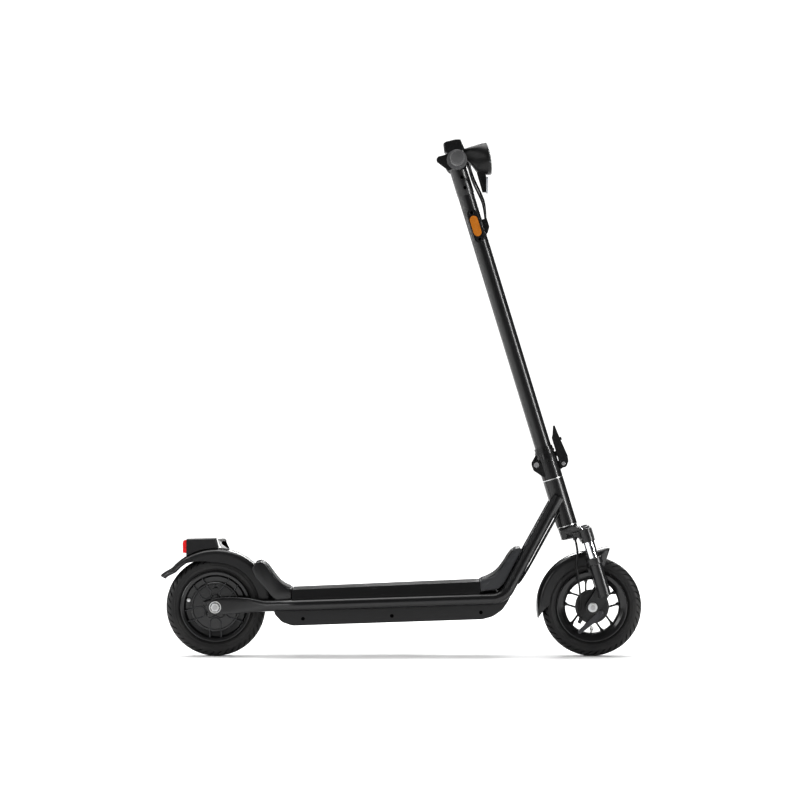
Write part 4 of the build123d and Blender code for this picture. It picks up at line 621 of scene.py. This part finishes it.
def cooling_fin(hand, angle):
    """U-shaped fin on the motor cover: out along one side, round the inner end and back, as a
    thin upright bar with a rounded crest."""
    round_end = np.radians(np.linspace(90, 270, 17))
    out = np.linspace(73.5, 42.0, 9)
    along = np.concatenate([out, 40.5 + 13.5 * np.cos(round_end), out[::-1]])
    across = np.concatenate([0 * out + 13.5, 13.5 * np.sin(round_end), 0 * out - 13.5])
    path = np.stack([along, across], 1)
    run = np.gradient(path, axis=0)
    run /= np.linalg.norm(run, axis=1, keepdims=True)
    normal = np.stack([-run[:, 1], run[:, 0]], 1)
    section = np.array([(-1.5, 17.5), (1.5, 17.5), (1.3, 31.6), (0.8, 32.6), (0, 33.0), (-0.8, 32.6), (-1.3, 31.6)])
    flat = path[:, None] + normal[:, None] * section[None, :, :1]
    x = REAR_AXLE[0] + flat[..., 0] * cos(angle) - flat[..., 1] * sin(angle)
    z = REAR_AXLE[1] + flat[..., 0] * sin(angle) + flat[..., 1] * cos(angle)
    return shell(np.stack([x, hand * section[:, 1] + 0 * x, z], -1))


for hand, side in ((-1, "right"), (1, "left")):
    fins = [cooling_fin(hand, radians(-90.0 + PAIR_TURN * number)) for number in range(PAIRS)]
    piece(f"motor_cover_{side}", [motor_cover(hand)], "rear_wheel", "wheel_black", "motor_covers", 30.0)
    # The fins take the lighter dark-grey coat, with its paler edges, as a painted highlight: they are lighter than
    # the cover they stand on.
    piece(f"motor_fins_{side}", fins, "rear_wheel", "wheel_black", None, 30.0, "frame_grey")


# ---------------------------------------------------------------- fenders
def fender(axle, angles, top, skirt, half, wall=2.5):
    """Fender channel: a crowned top that drops 2 mm to rounded shoulders, then flat skirts.
    Nothing reaches below the skirt radius. Top and skirt radii and the half width change with
    the angle; the inside follows the outside at the wall thickness."""
    deep, fall, foot_radius = 13.5, 2.0, 100.0
    shoulder = np.radians(np.linspace(0, 90, 9))
    crown = np.linspace(1, 0, 8)
    away = np.concatenate([[1, 1, 1, 1], 1 - 0.36 * (1 - np.cos(shoulder)), 0.64 * crown[1:]])
    drop = np.concatenate([[0, 0, 0, 0], deep - (deep - fall) * np.sin(shoulder), fall * crown[1:] ** 2])
    foot = np.concatenate([[1, 0.6, 0.3, 0.06], 0 * shoulder, 0 * crown[1:]])
    away = np.concatenate([-away, away[-2::-1]])
    drop, foot = np.concatenate([drop, drop[-2::-1]]), np.concatenate([foot, foot[-2::-1]])
    top, skirt, half = (np.asarray(v, float)[:, None] for v in (top, skirt, half))
    outside_r = (top - np.where(foot > 0, deep, drop)) * (1 - foot) + foot_radius * foot
    inside_r = np.where(foot > 0, outside_r, outside_r - wall)
    outside_r, inside_r = np.maximum(outside_r, skirt), np.maximum(inside_r, skirt)
    outside_y, inside_y = half * away, (half - wall) * away
    ring_r = np.concatenate([outside_r, inside_r[:, ::-1]], 1)
    ring_y = np.concatenate([outside_y, inside_y[:, ::-1]], 1)
    angle = np.radians(angles)[:, None]
    return shell(polar(axle, ring_r, ring_y, angle))


front_angles = np.concatenate([np.linspace(73.0, 92.0, 20), np.linspace(95.0, 170.0, 51),
                               np.linspace(172.0, 192.0, 21)])
front_top = 135.0 + 17.5 * (1 - ease(front_angles, 69.0, 92.0))
front_skirt = 103.0 + 29.0 * np.clip((front_angles - 177.0) / 14.5, 0, 1)
front_half = 34.5 - 7.0 * (1 - ease(front_angles, 72.0, 80.0)) - 4.0 * ease(front_angles, 180.0, 192.0)
fender_parts = [fender(FRONT_AXLE, front_angles, front_top, front_skirt, front_half)]
ear_foot = 34.0
ears = (([(22, 68), (51, 68), (51, 97), (22, 97)], 3.0), ([(16, 78), (30, 78), (30, 94), (16, 94)], 3.4))
for hand in (-1, 1):
    for outline, stand in ears:
        points, faces = slab(eased(outline, 5.0, 2), 0.0, stand, 0.8, 2)
        fender_parts.append((column(points[:, 0], hand * (ear_foot + points[:, 1]), points[:, 2]), faces))
piece("front_fender_shell", fender_parts, "fork_lowers", "fender_black", "front_fender", 34.0)

rear_angles = np.concatenate([np.linspace(8.5, 136.0, 88), np.linspace(137.5, 151.0, 19)])
# The skirt's edge follows a circle of its own, round a point behind and below the axle
cut_x, cut_z, cut_r = -33.0, -24.0, 134.0
direction = np.radians(rear_angles)
nearer = cut_x * np.cos(direction) + cut_z * np.sin(direction)
rear_skirt = np.maximum(107.0, nearer + np.sqrt(cut_r ** 2 - cut_x ** 2 - cut_z ** 2 + nearer ** 2))
rear_top = 141.0 + 12.6 * ease(rear_angles, 137.0, 152.5)
rear_skirt = np.minimum(rear_skirt, rear_top - 15.0)
rear_half = 34.5 - 6.0 * ease(rear_angles, 140.0, 151.0)
piece("rear_fender_shell", [fender(REAR_AXLE, rear_angles, rear_top, rear_skirt, rear_half)], "frame",
      "fender_black", "rear_fender", 34.0)


# ---------------------------------------------------------------- deck
def rail_height(x):
    """Height of the side rails' centre line at x."""
    return REAR_AXLE[1] + (x - REAR_AXLE[0]) * RAIL_SLOPE


tub_seam = 9.5      # from the rails' centre line down to the tub's upper edge
tub = eased([(-306, 112), (-303, 103), (-287, 85.5), (-262, 76.6), (196, 92), (221, 99), (243, 114.5), (257, 134.5),
             (269, 160),
             (258, 166), (236, 147), (218, rail_height(218) - tub_seam), (-306, rail_height(-306) - tub_seam)],
            (3, 8, 14, 16, 16, 14, 14, 14, 2, 3, 8, 6, 3))
core = eased([(-300, 116), (-300, 131), (-264, 139), (-262, 150), (187, 169), (187, 158), (226, 158), (250, 148),
              (232, 118)], (4, 6, 6, 4, 3, 3, 6, 6, 6))
stand_boss = [(0, 10.5), (3.0, 10.5), (4.0, 9.5)]
piece("deck_tub", [slab(tub, -70.0, 70.0, 2.6), slab(core, -54.0, 54.0, 1.2, 2),
                   spun(stand_boss, (40.0, 69.0, 97.0), (0, 1, 0), (1, 0, 0))],
      "frame", "plastic_black", "deck_hull", 34.0)

DECK_RISE = radians(2.45)
DECK_LENGTH = 451.0 / cos(DECK_RISE)
DECK_BACK = -263.0
MAT_HALF = 74.0


def deck_mat():
    """Mat: lengthwise ribs 1.2 high and 5 apart over a base, each rib a rounded hump across
    the deck; the ribs fade at the four borders, which curve down to the plate."""
    across = np.linspace(-MAT_HALF, MAT_HALF, 30 * 8 + 1)
    along = np.concatenate([[1.0, 1.6, 3.0, 6.0, 9.0, 12.0], np.linspace(20, DECK_LENGTH - 20, 12),
                            DECK_LENGTH - np.array([12.0, 9.0, 6.0, 3.0, 1.6, 1.0])])
    along = along[:, None]
    near_side = MAT_HALF - np.abs(across)
    near_end = np.minimum(along - 1.0, DECK_LENGTH - 1.0 - along)
    hump = np.abs(np.sin(across / RIB_PITCH * pi)) ** 0.6
    fade = ease(near_side, 3.0, 5.0) * ease(near_end, 5.0, 9.0)
    border = np.minimum(ease(near_side, -1.5, 1.5), ease(near_end, -1.5, 1.5))
    under = -4.0
    plain = 0.9 * ease(near_side, 0, 1) * ease(near_end, 0, 1) * (1 - fade)
    top = under + 2.6 * border + 1.3 * hump * fade + plain
    base = under + 0 * top
    rows_y = np.concatenate([across + 0 * along, (across + 0 * along)[:, ::-1]], 1)
    rows_h = np.concatenate([top, base], 1)
    x = DECK_BACK + along * cos(DECK_RISE) - rows_h * sin(DECK_RISE)
    z = 164.0 + along * sin(DECK_RISE) + rows_h * cos(DECK_RISE)
    return shell(np.stack([x, rows_y, z], -1))


piece("deck_mat_ribbed", [deck_mat()], "frame", "mat_rubber", "deck_mat", 50.0)


def deck_plate():
    """Deck plate: a channel section with sloping sides and a low lip round the mat, carried
    along the deck; its feet follow the tops of the side rails."""
    x = np.linspace(-262.8, 189.0, 24)[:, None]
    top = 160.0 + (x - DECK_BACK) * sin(DECK_RISE) / cos(DECK_RISE)
    side = np.array([78.6, 78.4, 77.0, 76.0, 75.2, 74.4, 74.2, 60.0, 20.0])
    drop = np.array([0, 0, 10.0, 1.2, -3.4, -3.4, 0, 0, 0])
    across = np.concatenate([-side, side[::-1], 0.93 * side[0:2], 0.93 * side[3:4], -0.93 * side[3:4],
                             -0.93 * side[1::-1]])
    drop = np.concatenate([drop, drop[::-1], [0, 0], [7.0], [7.0], [0, 0]])
    inside = np.array([0] * 18 + [1, 2, 0, 0, 2, 1])
    feet = rail_height(x) + 13.4
    z = top - drop + 0 * across
    outer_foot, outer_rise = np.isin(np.arange(24), (0, 17)), np.isin(np.arange(24), (1, 16))
    z = np.where(outer_foot | (inside == 1), feet, z)
    z = np.where(outer_rise | (inside == 2), feet + 5.0, z)
    return shell(np.stack([x + 0 * across, across + 0 * x, z], -1))


# The plate takes the slightly lighter anodised finish as painted light, standing in for the overhead light its
# sloping sides catch.
piece("deck_plate_formed", [deck_plate()], "frame", "frame_black", "deck_plate", 40.0, "alloy_black")

front_rise = eased([(189.4, 183.4), (220, 195.5), (240, 213), (259, 242), (275, 261.6), (287.0, 263.4),
                    (290.2, 257),
                    (266, 212), (248, 179), (234, 165.5), (189.4, 158.5)], (3, 14, 14, 14, 6, 5, 4, 16, 14, 12, 3))
front_width = 78.0 - 21.0 * np.clip((front_rise[:, 0] - 205.0) / 87.0, 0, 1) ** 1.25
front_face = [(192, 184.0), (206, 188.6), (220, 195.6), (231, 203.6), (240, 213.2), (250, 227.5), (259, 242.0),
              (271, 257.5)]
piece("front_kick_panel", [slab(front_rise, -front_width, front_width, 2.2)], "frame", "frame_grey", "front_kick",
      30.0)
piece("front_kick_pad", [strip(front_face, 1.6, (73.0, 55.0))], "frame", "mat_rubber")

rear_rise = eased([(-263.3, 164.5), (-276, 168.0), (-292, 177.0), (-308, 197.5), (-327, 224.0), (-337, 230.4),
                   (-351, 227.5), (-358.6, 214.0), (-350, 192.0), (-332, 171.5), (-313, 149.0), (-301, 137.4),
                   (-263.3, 138.0)], (2, 10, 14, 10, 5, 5, 6, 8, 12, 14, 14, 6, 2))
rear_side = slab(rear_rise, 35.6, 64.0, 2.2)
wheel_arch = 141.6
within = rear_rise[np.hypot(rear_rise[:, 0] - REAR_AXLE[0], rear_rise[:, 1] - REAR_AXLE[1]) > wheel_arch]
rear_face = [(-266, 165.2), (-280, 170.6), (-291, 178.0), (-300, 187.5), (-309, 199.0), (-326, 222.4)]
piece("rear_kick_panel", [*both_hands(rear_side), slab(within, -35.8, 35.8, 0.3, 1)], "frame", "frame_black",
      "rear_kick", 30.0)
piece("rear_kick_pad", [strip(rear_face[::-1], 1.4, (57.0, 60.0))], "frame", "mat_rubber")

# Flattened arms from the wheel's axle to the round side rails
arm_stations = [(-468.5, 117, 124.0, 49, 54), (-467, 112.5, 128.5, 47.4, 55.6), (-463, 107.4, 134.2, 46.4, 56.2),
                (-457, 104.6, 138.4, 46, 56.4), (-448, 103.2, 141.6, 46, 56.4), (-436, 102.7, 143.4, 46, 56.4),
                (-418, 103.4, 144.2, 46, 56.4), (-395, 105.0, 144.2, 45.6, 57.0), (-368, 106.9, 142.6, 44.0, 60.5),
                (-345, 108.5, 139.8, 41.6, 66.2), (-330, 109.4, 138.1, 40.9, 69.3),
                (-310, 110.1, 138.7, 45.2, 74.0),
                (-290, 110.7, 139.3, 50.0, 78.7)]
arm = loft([(x, x, *rest) for x, *rest in arm_stations],
           (0.5, 0.42, 0.36, 0.34, 0.34, 0.34, 0.36, 0.42, 0.55, 0.75, 0.95, 1.0, 1.0))
piece("rear_arm_fairings", both_hands(arm), "frame", "frame_black", None, 34.0)

hook = eased([(-443.5, 282.8), (-427, 284.4), (-421.8, 278.0), (-426.6, 275.4), (-431.0, 277.0), (-433.0, 271.6),
              (-428.0, 268.6), (-421.6, 269.6), (-414.4, 261.0), (-415.3, 256.6), (-431.2, 257.2), (-438.5, 268.0)],
             (2, 2, 1.2, 1, 2, 2, 1.6, 1.6, 1, 2, 2, 2), 2)
piece("stem_hook", [slab(hook, -11.0, 11.0, 1.2)], "frame", "steel", "fold_hook", 34.0, "zinc_steel")


# ---------------------------------------------------------------- grips and lamp
BAR = column(0.0, 0.0, 1122.7)
BAR_AT = (BAR[0], BAR[2])


def grip(hand):
    """Grip sleeve: a flanged tube whose skin has small raised diamonds, the product of two
    crossing spiral waves, smooth near both flanges, closed over the bar's end."""
    y = np.array([0, 0.4, 1.2, 3.0, 3.8, 4.3, *np.linspace(5, 111, 107), 111.8, 112.3, 113, 115, 116, 117, 118,
                  119.2, 120])
    base = np.interp(y, (0, 0.4, 1.2, 3.0, 3.8, 4.3, 5.0, 111.0, 112.3, 113, 115, 116, 117, 119.2, 120),
                     (22.6, 23.8, 24.3, 24.3, 23.2, 18.0, 16.2, 16.2, 17.6, 18.2, 18.2, 17.4, 15.4, 14.9, 13.4))
    angle = circle(96)
    swirl = y[:, None] / 5.2
    pattern = np.cos(swirl + 9 * angle) * np.cos(swirl - 9 * angle)
    plain = ease(y, 8, 11) * (1 - ease(y, 104, 107))
    radius = base[:, None] + 0.55 * np.maximum(pattern, 0) ** 0.6 * plain[:, None]
    inner_end = 150.0
    return shell(polar(BAR_AT, radius, hand * (inner_end + y[:, None]), angle))


piece("grip_pair", [grip(-1), grip(1)], "stem", "grip_rubber", "grips", 40.0)

# Throttle: a disc beside the grip and a thumb paddle that points back
disc = [(-134.4, 13.2), (-134.4, 23.8), (-135.4, 24.5), (-140.6, 24.5), (-142.0, 23.2), (-142.0, 13.2)]
BAR_XZ = np.array(BAR_AT)
blade = eased(np.array([(-13, 19.5), (-30, 11.0), (-44, 7.6), (-48.3, 2.5), (-48, -3.6), (-44.5, -8.0),
                        (-20, -26.6),
                        (-12, -24.0), (-14.6, -8), (-14.6, 8)]) + BAR_XZ, (2, 5, 3, 3, 3, 4, 4, 3, 2, 2))
thumb = eased(np.array([(-30, 10.9), (-44, 7.6), (-48.3, 2.5), (-48, -3.6), (-44.5, -8.0), (-39.5, -3.5),
                        (-31, 5.0)])
              + BAR_XZ, (1.5, 3, 3, 3, 3, 3, 2))
piece("thumb_throttle", [turned(disc, BAR_AT, 96), slab(blade, -142.0, -134.4, 1.4),
                         slab(thumb, -141.0, -118.0, 1.6)],
      "throttle", "plastic_black", "throttle_paddle", 34.0)

# Headlight: a shell that swells from the bar clamp to a round face leaning back by 8.6 degrees
lamp_tilt = radians(8.6)
LAMP_AXIS = np.array((cos(lamp_tilt), 0.0, sin(lamp_tilt)))
LAMP_UP = np.array((-sin(lamp_tilt), 0.0, cos(lamp_tilt)))
LAMP_FACE = np.array((213.0, 0.0, 1203.0))


def lamp_ring(depth, radius):
    """Station of the lamp shell that is a circle behind the face: (foot x, top x, low, high, sides)."""
    middle = LAMP_FACE - depth * LAMP_AXIS
    foot, top = middle - radius * LAMP_UP, middle + radius * LAMP_UP
    return (foot[0], top[0], foot[2], top[2], -radius, radius)


lamp_stations = [(154, 150, 1201, 1224.6, -15.6, 15.6), (156, 152, 1199.6, 1226.2, -16.6, 16.6),
                 (163, 160, 1194.2, 1229, -19.5, 19.5), (172, 172, 1184.2, 1232.8, -24.1, 24.1),
                 (179, 184, 1174.4, 1236.4, -28.4, 28.4), (185.5, 194, 1166.6, 1239.6, -32.4, 32.4),
                 lamp_ring(7.0, 39.3), lamp_ring(3.0, 39.5), lamp_ring(0.6, 38.6), lamp_ring(-0.6, 36.6),
                 lamp_ring(-0.4, 34.8), lamp_ring(4.6, 34.5), lamp_ring(25.0, 13.0)]
lamp_power = (0.42, 0.42, 0.45, 0.53, 0.64, 0.78, 1, 1, 1, 1, 1, 1, 1)
bracket = eased([(183, 1169), (204, 1169), (205.6, 1160), (205.6, 1121), (197.0, 1121)], (2, 2, 3, 1.5, 1.5))
piece("headlight_shell", [loft(lamp_stations, lamp_power), slab(bracket, -12.0, 12.0, 1.4)], "stem",
      "plastic_black",
      "headlight_housing", 32.0)
bowl = [(-24.4, 0.4), (-24.4, 12.0), (-5.0, 34.0), (-4.4, 34.0), (-4.6, 33.0), (-14.0, 25.0), (-21.0, 15.5),
        (-23.6, 8.0), (-23.8, 0.4)]
piece("headlight_bowl", [spun(bowl, LAMP_FACE, LAMP_AXIS, LEFT, 64)], "stem", "chrome_steel")
emitter = [(-23.9, 6.5), (-21.5, 6.2), (-19.6, 4.6), (-18.8, 2.2), (-18.6, 0.3)]
piece("headlight_emitter", [spun(emitter, LAMP_FACE, LAMP_AXIS, LEFT, 32)], "stem", "white_reflector")


# ---------------------------------------------------------------- stem and fork fittings
# Bar clamp: a sleeve on the stem tube and a barrel round the handlebar
sleeve = [(1040.0, 19.9), (1040.0, 20.5), (1040.8, 20.9), (1127.0, 20.9), (1129.0, 19.5), (1129.0, 1.0)]
barrel = [(-30.0, 1.0), (-30.0, 16.0), (-29.0, 17.2), (29.0, 17.2), (30.0, 16.0), (30.0, 1.0)]
piece("bar_clamp_body", [spun(sleeve, column(0.0, 0.0, 0.0), UPWARD, LEFT, 96),
                         spun(barrel, (BAR_AT[0], 0.0, BAR_AT[1]), LEFT, FORWARD, 72)], "stem", "frame_black",
      "bar_clamp", 34.0)

# Screw holes on each side: two in the clamp, and one above and one below the side reflector. Their wells are
# painted with the near-black of unlit depth, a painted shade.
hole = [(-0.4, 3.7), (0.3, 3.7), (0.3, 0.3)]
hole_rim = [(-0.6, 5.0), (0.4, 5.0), (0.8, 4.6), (0.8, 3.7), (-0.6, 3.7)]
holes, rims = [], []
for hand in (-1, 1):
    for p, s, y in ((2.5, 1083.1, 20.7), (2.5, 1057.2, 20.7), (0, 994.5, 22.2), (0, 927.5, 22.2)):
        seat = column(float(p), float(hand * y), float(s))
        holes.append(spun(hole, seat, hand * LEFT, FORWARD, 24))
        rims.append(spun(hole_rim, seat, hand * LEFT, FORWARD, 32, True))
piece("stem_screw_wells", holes, "stem", "plastic_black", None, 30.0, "hole_black")
piece("stem_screw_rims", rims, "stem", "alloy_black", None, 30.0)

# Dark seats under the axle nuts' heads
for name, body, axle, face, inner, outer in (("front_nut_seats", "fork_lowers", FRONT_AXLE, 56.4, 9.7, 10.9),
                                             ("rear_nut_seats", "frame", REAR_AXLE, 57.0, 9.9, 12.0)):
    seat_ring = [(0.0, inner), (0.45, inner), (0.45, outer), (0.0, outer)]
    seats = [spun(seat_ring, (axle[0], hand * face, axle[1]), hand * LEFT, FORWARD, 48, True) for hand in (-1, 1)]
    piece(name, seats, body, "steel", None, 30.0, "dark_steel")

# Fork: a swept arm from the crown to each leg, and a flange round the top of each lower tube
sweep_arm = eased([(-21, 200), (-21.5, 180), (-16, 175.5), (-2, 176.5), (17, 168.5), (27, 158), (47, 155.6),
                   (53, 160),
                   (53, 183), (48, 186.5), (30, 187.5), (18, 199.5), (10, 203)],
                   (3, 4, 5, 8, 8, 6, 4, 3, 4, 4, 6, 6, 4))
wing = ease(sweep_arm[:, 0], 2.0, 24.0)
arm_shell = slab(sweep_arm, 10.0 + 26.2 * ease(sweep_arm[:, 0], 8.0, 20.0), 26.0 + 40.0 * wing, 2.4)
piece("fork_crown_arms", on_column(both_hands(arm_shell)), "steering", "frame_black", None, 34.0)
flange = [(96.5, 15.6), (97.0, 18.2), (98.6, 19.6), (108.0, 20.0), (112.0, 20.0), (113.4, 18.8), (113.8, 14.0),
          (96.5, 14.0)]
collars = [spun(flange, column(36.5, hand * LEG_SPREAD, 0.0), UPWARD, LEFT, 64, True) for hand in (-1, 1)]
piece("fork_leg_collars", collars, "fork_lowers", "frame_black", None, 34.0)

# Clip that holds the wiring harness to the right rail
clip = eased([(288.0, 214.0), (296.5, 210.0), (299.5, 216.0), (291.0, 220.0)], 2.0, 2)
piece("harness_clip", [slab(clip, -64.5, -54.5, 1.0)], "frame", "plastic_black")


# ---------------------------------------------------------------- cables
def cable(name, points, radius, body, slot, node, blend_span=None):
    """Round cable on one smooth spline that the points steer."""
    curve = bpy.data.curves.new(name, "CURVE")
    curve.dimensions = "3D"
    curve.bevel_depth = radius * MM
    curve.bevel_resolution = 5
    curve.use_fill_caps = True
    curve.resolution_u = 14
    spline = curve.splines.new("NURBS")
    spline.points.add(len(points) - 1)
    steering = np.concatenate([np.asarray(points, float) * MM, np.ones((len(points), 1))], 1)
    spline.points.foreach_set("co", steering.ravel())
    spline.order_u = 3
    spline.use_endpoint_u = True
    curve.materials.append(FINISHES[slot])
    made = placed(name, curve)
    if blend_span:
        mesh = bpy.data.meshes.new_from_object(made)
        bpy.data.objects.remove(made)
        made = placed(name, mesh)
        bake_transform(made)
    else:
        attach(made, body)
    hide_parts(node)


def at(p, y, s):
    return tuple(column(float(p), float(y), float(s)))


brake_line = [(160, 101, 1202), (164, 78, 1201), (166.5, 52, 1192), (170, 30, 1173), (178.5, 13, 1148),
              (193, 5.5, 1119), (204, 4, 1090), at(27, 4.3, 966)]
control_line = [(151, -111, 1184), (157, -88, 1183), (163, -58, 1177), (167, -34, 1163), (175, -15, 1141),
                (188.5, -6, 1115), (200.5, -4, 1088), at(27, -4.3, 966)]
cable("brake_line", brake_line, 2.5, "stem", "cable_black", "bar_cables")
cable("control_line", control_line, 2.5, "stem", "cable_black", "bar_cables")
lower_line = [at(8, -45, 178), at(8, -45, 142), (421.5, -45.5, 222), (428, -45, 182), (431.5, -44.5, 150),
              (432, -43.7, 121), (430.7, -42.5, 96.5)]
span = [tuple(np.asarray(p) * MM) for p in (lower_line[1], lower_line[5])]
cable("brake_line_lower", lower_line, 2.5, ("steering", "fork_lowers"), "cable_black", "brake_cable_lower", span)

diagonal_start, diagonal_end = np.array((246, -72, 142.2)), np.array((378.5, -32, 384.3))
diagonal_front = np.array((0.877, 0, -0.480))
harness = [tuple(diagonal_start + (diagonal_end - diagonal_start) * share + diagonal_front * stand)
           for share, stand in ((0.175, 13), (0.225, 18), (0.70, 18))]
cable("harness_line", [*harness, (381, -20, 347)], 3.0, "frame", "cable_black", "harness_cable")


# ---------------------------------------------------------------- stage
def soft_box(name, place, aim, width, height, power):
    """Rectangular soft light at a place, facing a point."""
    lamp = bpy.data.lights.new(name, "AREA")
    lamp.shape = "RECTANGLE"
    lamp.size, lamp.size_y, lamp.energy = width, height, power
    made = placed(name, lamp)
    toward = np.subtract(aim, place)
    made.location = place
    made.rotation_euler = (atan2(hypot(toward[0], toward[1]), -toward[2]), 0, atan2(-toward[0], toward[1]))


soft_box("front_left_soft", (-3.6, -5.0, 1.9), (0, 0, 0.6), 1.4, 2.6, 60.0)
soft_box("right_strip", (4.4, -2.1, 1.3), (0.2, 0, 0.7), 0.16, 3.2, 170.0)
soft_box("left_strip", (-4.4, -1.7, 1.7), (-0.3, 0, 0.4), 0.35, 2.4, 80.0)
soft_box("far_strip", (-4.6, 1.4, 1.3), (-0.2, 0, 0.5), 0.4, 2.6, 50.0)
soft_box("back_soft", (1.0, 4.6, 2.4), (0, 0, 0.6), 3.0, 1.2, 90.0)

sky = bpy.data.lights.new("overhead_sky", "SUN")
sky.energy = 3.3
sky.angle = radians(60.0)
placed("overhead_sky", sky).rotation_euler = (radians(-14.0), radians(-6.0), 0)

world = bpy.data.worlds.new("studio_surround")
bpy.context.scene.world = world
world.use_nodes = True
# White behind the scooter for the camera, and a faint white for every other ray
background = world.node_tree.nodes["Background"]
seen = world.node_tree.nodes.new("ShaderNodeBackground")
for surround, strength in ((background, 0.05), (seen, 1.0)):
    surround.inputs["Color"].default_value = (1.0, 1.0, 1.0, 1.0)
    surround.inputs["Strength"].default_value = strength
ray = world.node_tree.nodes.new("ShaderNodeLightPath")
chosen = world.node_tree.nodes.new("ShaderNodeMixShader")
links = world.node_tree.links
links.new(ray.outputs["Is Camera Ray"], chosen.inputs[0])
links.new(background.outputs[0], chosen.inputs[1])
links.new(seen.outputs[0], chosen.inputs[2])
links.new(chosen.outputs[0], world.node_tree.nodes["World Output"].inputs["Surface"])

floor_paint = Finish("pale_studio_floor")
floor_shade = floor_paint.mix(floor_paint.noise(0.6), (0.93, 0.93, 0.93), (0.96, 0.96, 0.96))
floor_material = floor_paint.finish(floor_shade, 0.85)
side, floor_drop = 7, 0.0004    # points along each side, and how far the floor lies under the tyres
floor_x, floor_y = np.meshgrid(np.linspace(-5.0, 5.0, side), np.linspace(-3.4, 8.0, side))
floor_points = np.stack([floor_x, floor_y, 0 * floor_x - floor_drop], -1).reshape(-1, 3)
corner = np.arange(side * side).reshape(side, side)[:-1, :-1].ravel()
floor_faces = np.stack([corner, corner + 1, corner + side + 1, corner + side], 1)
floor_mesh = bpy.data.meshes.new("studio_floor")
floor_mesh.from_pydata(floor_points.tolist(), [], floor_faces.tolist())
floor_mesh.materials.append(floor_material)
floor = placed("studio_floor", floor_mesh)

lens = bpy.data.cameras.new("camera")
lens.sensor_width = 36.0
lens.lens = 187.8
lens.shift_x = 0.00375
lens.shift_y = -0.04875
lens.clip_start, lens.clip_end = 0.1, 200.0
camera = placed("camera", lens)
camera.location = (-0.010, -10.1, 0.713)
camera.rotation_euler = (radians(90.0), 0, 0)
bpy.context.scene.camera = camera
bpy.context.scene.view_settings.view_transform = "Standard"
bpy.context.scene.view_settings.look = "Medium High Contrast"
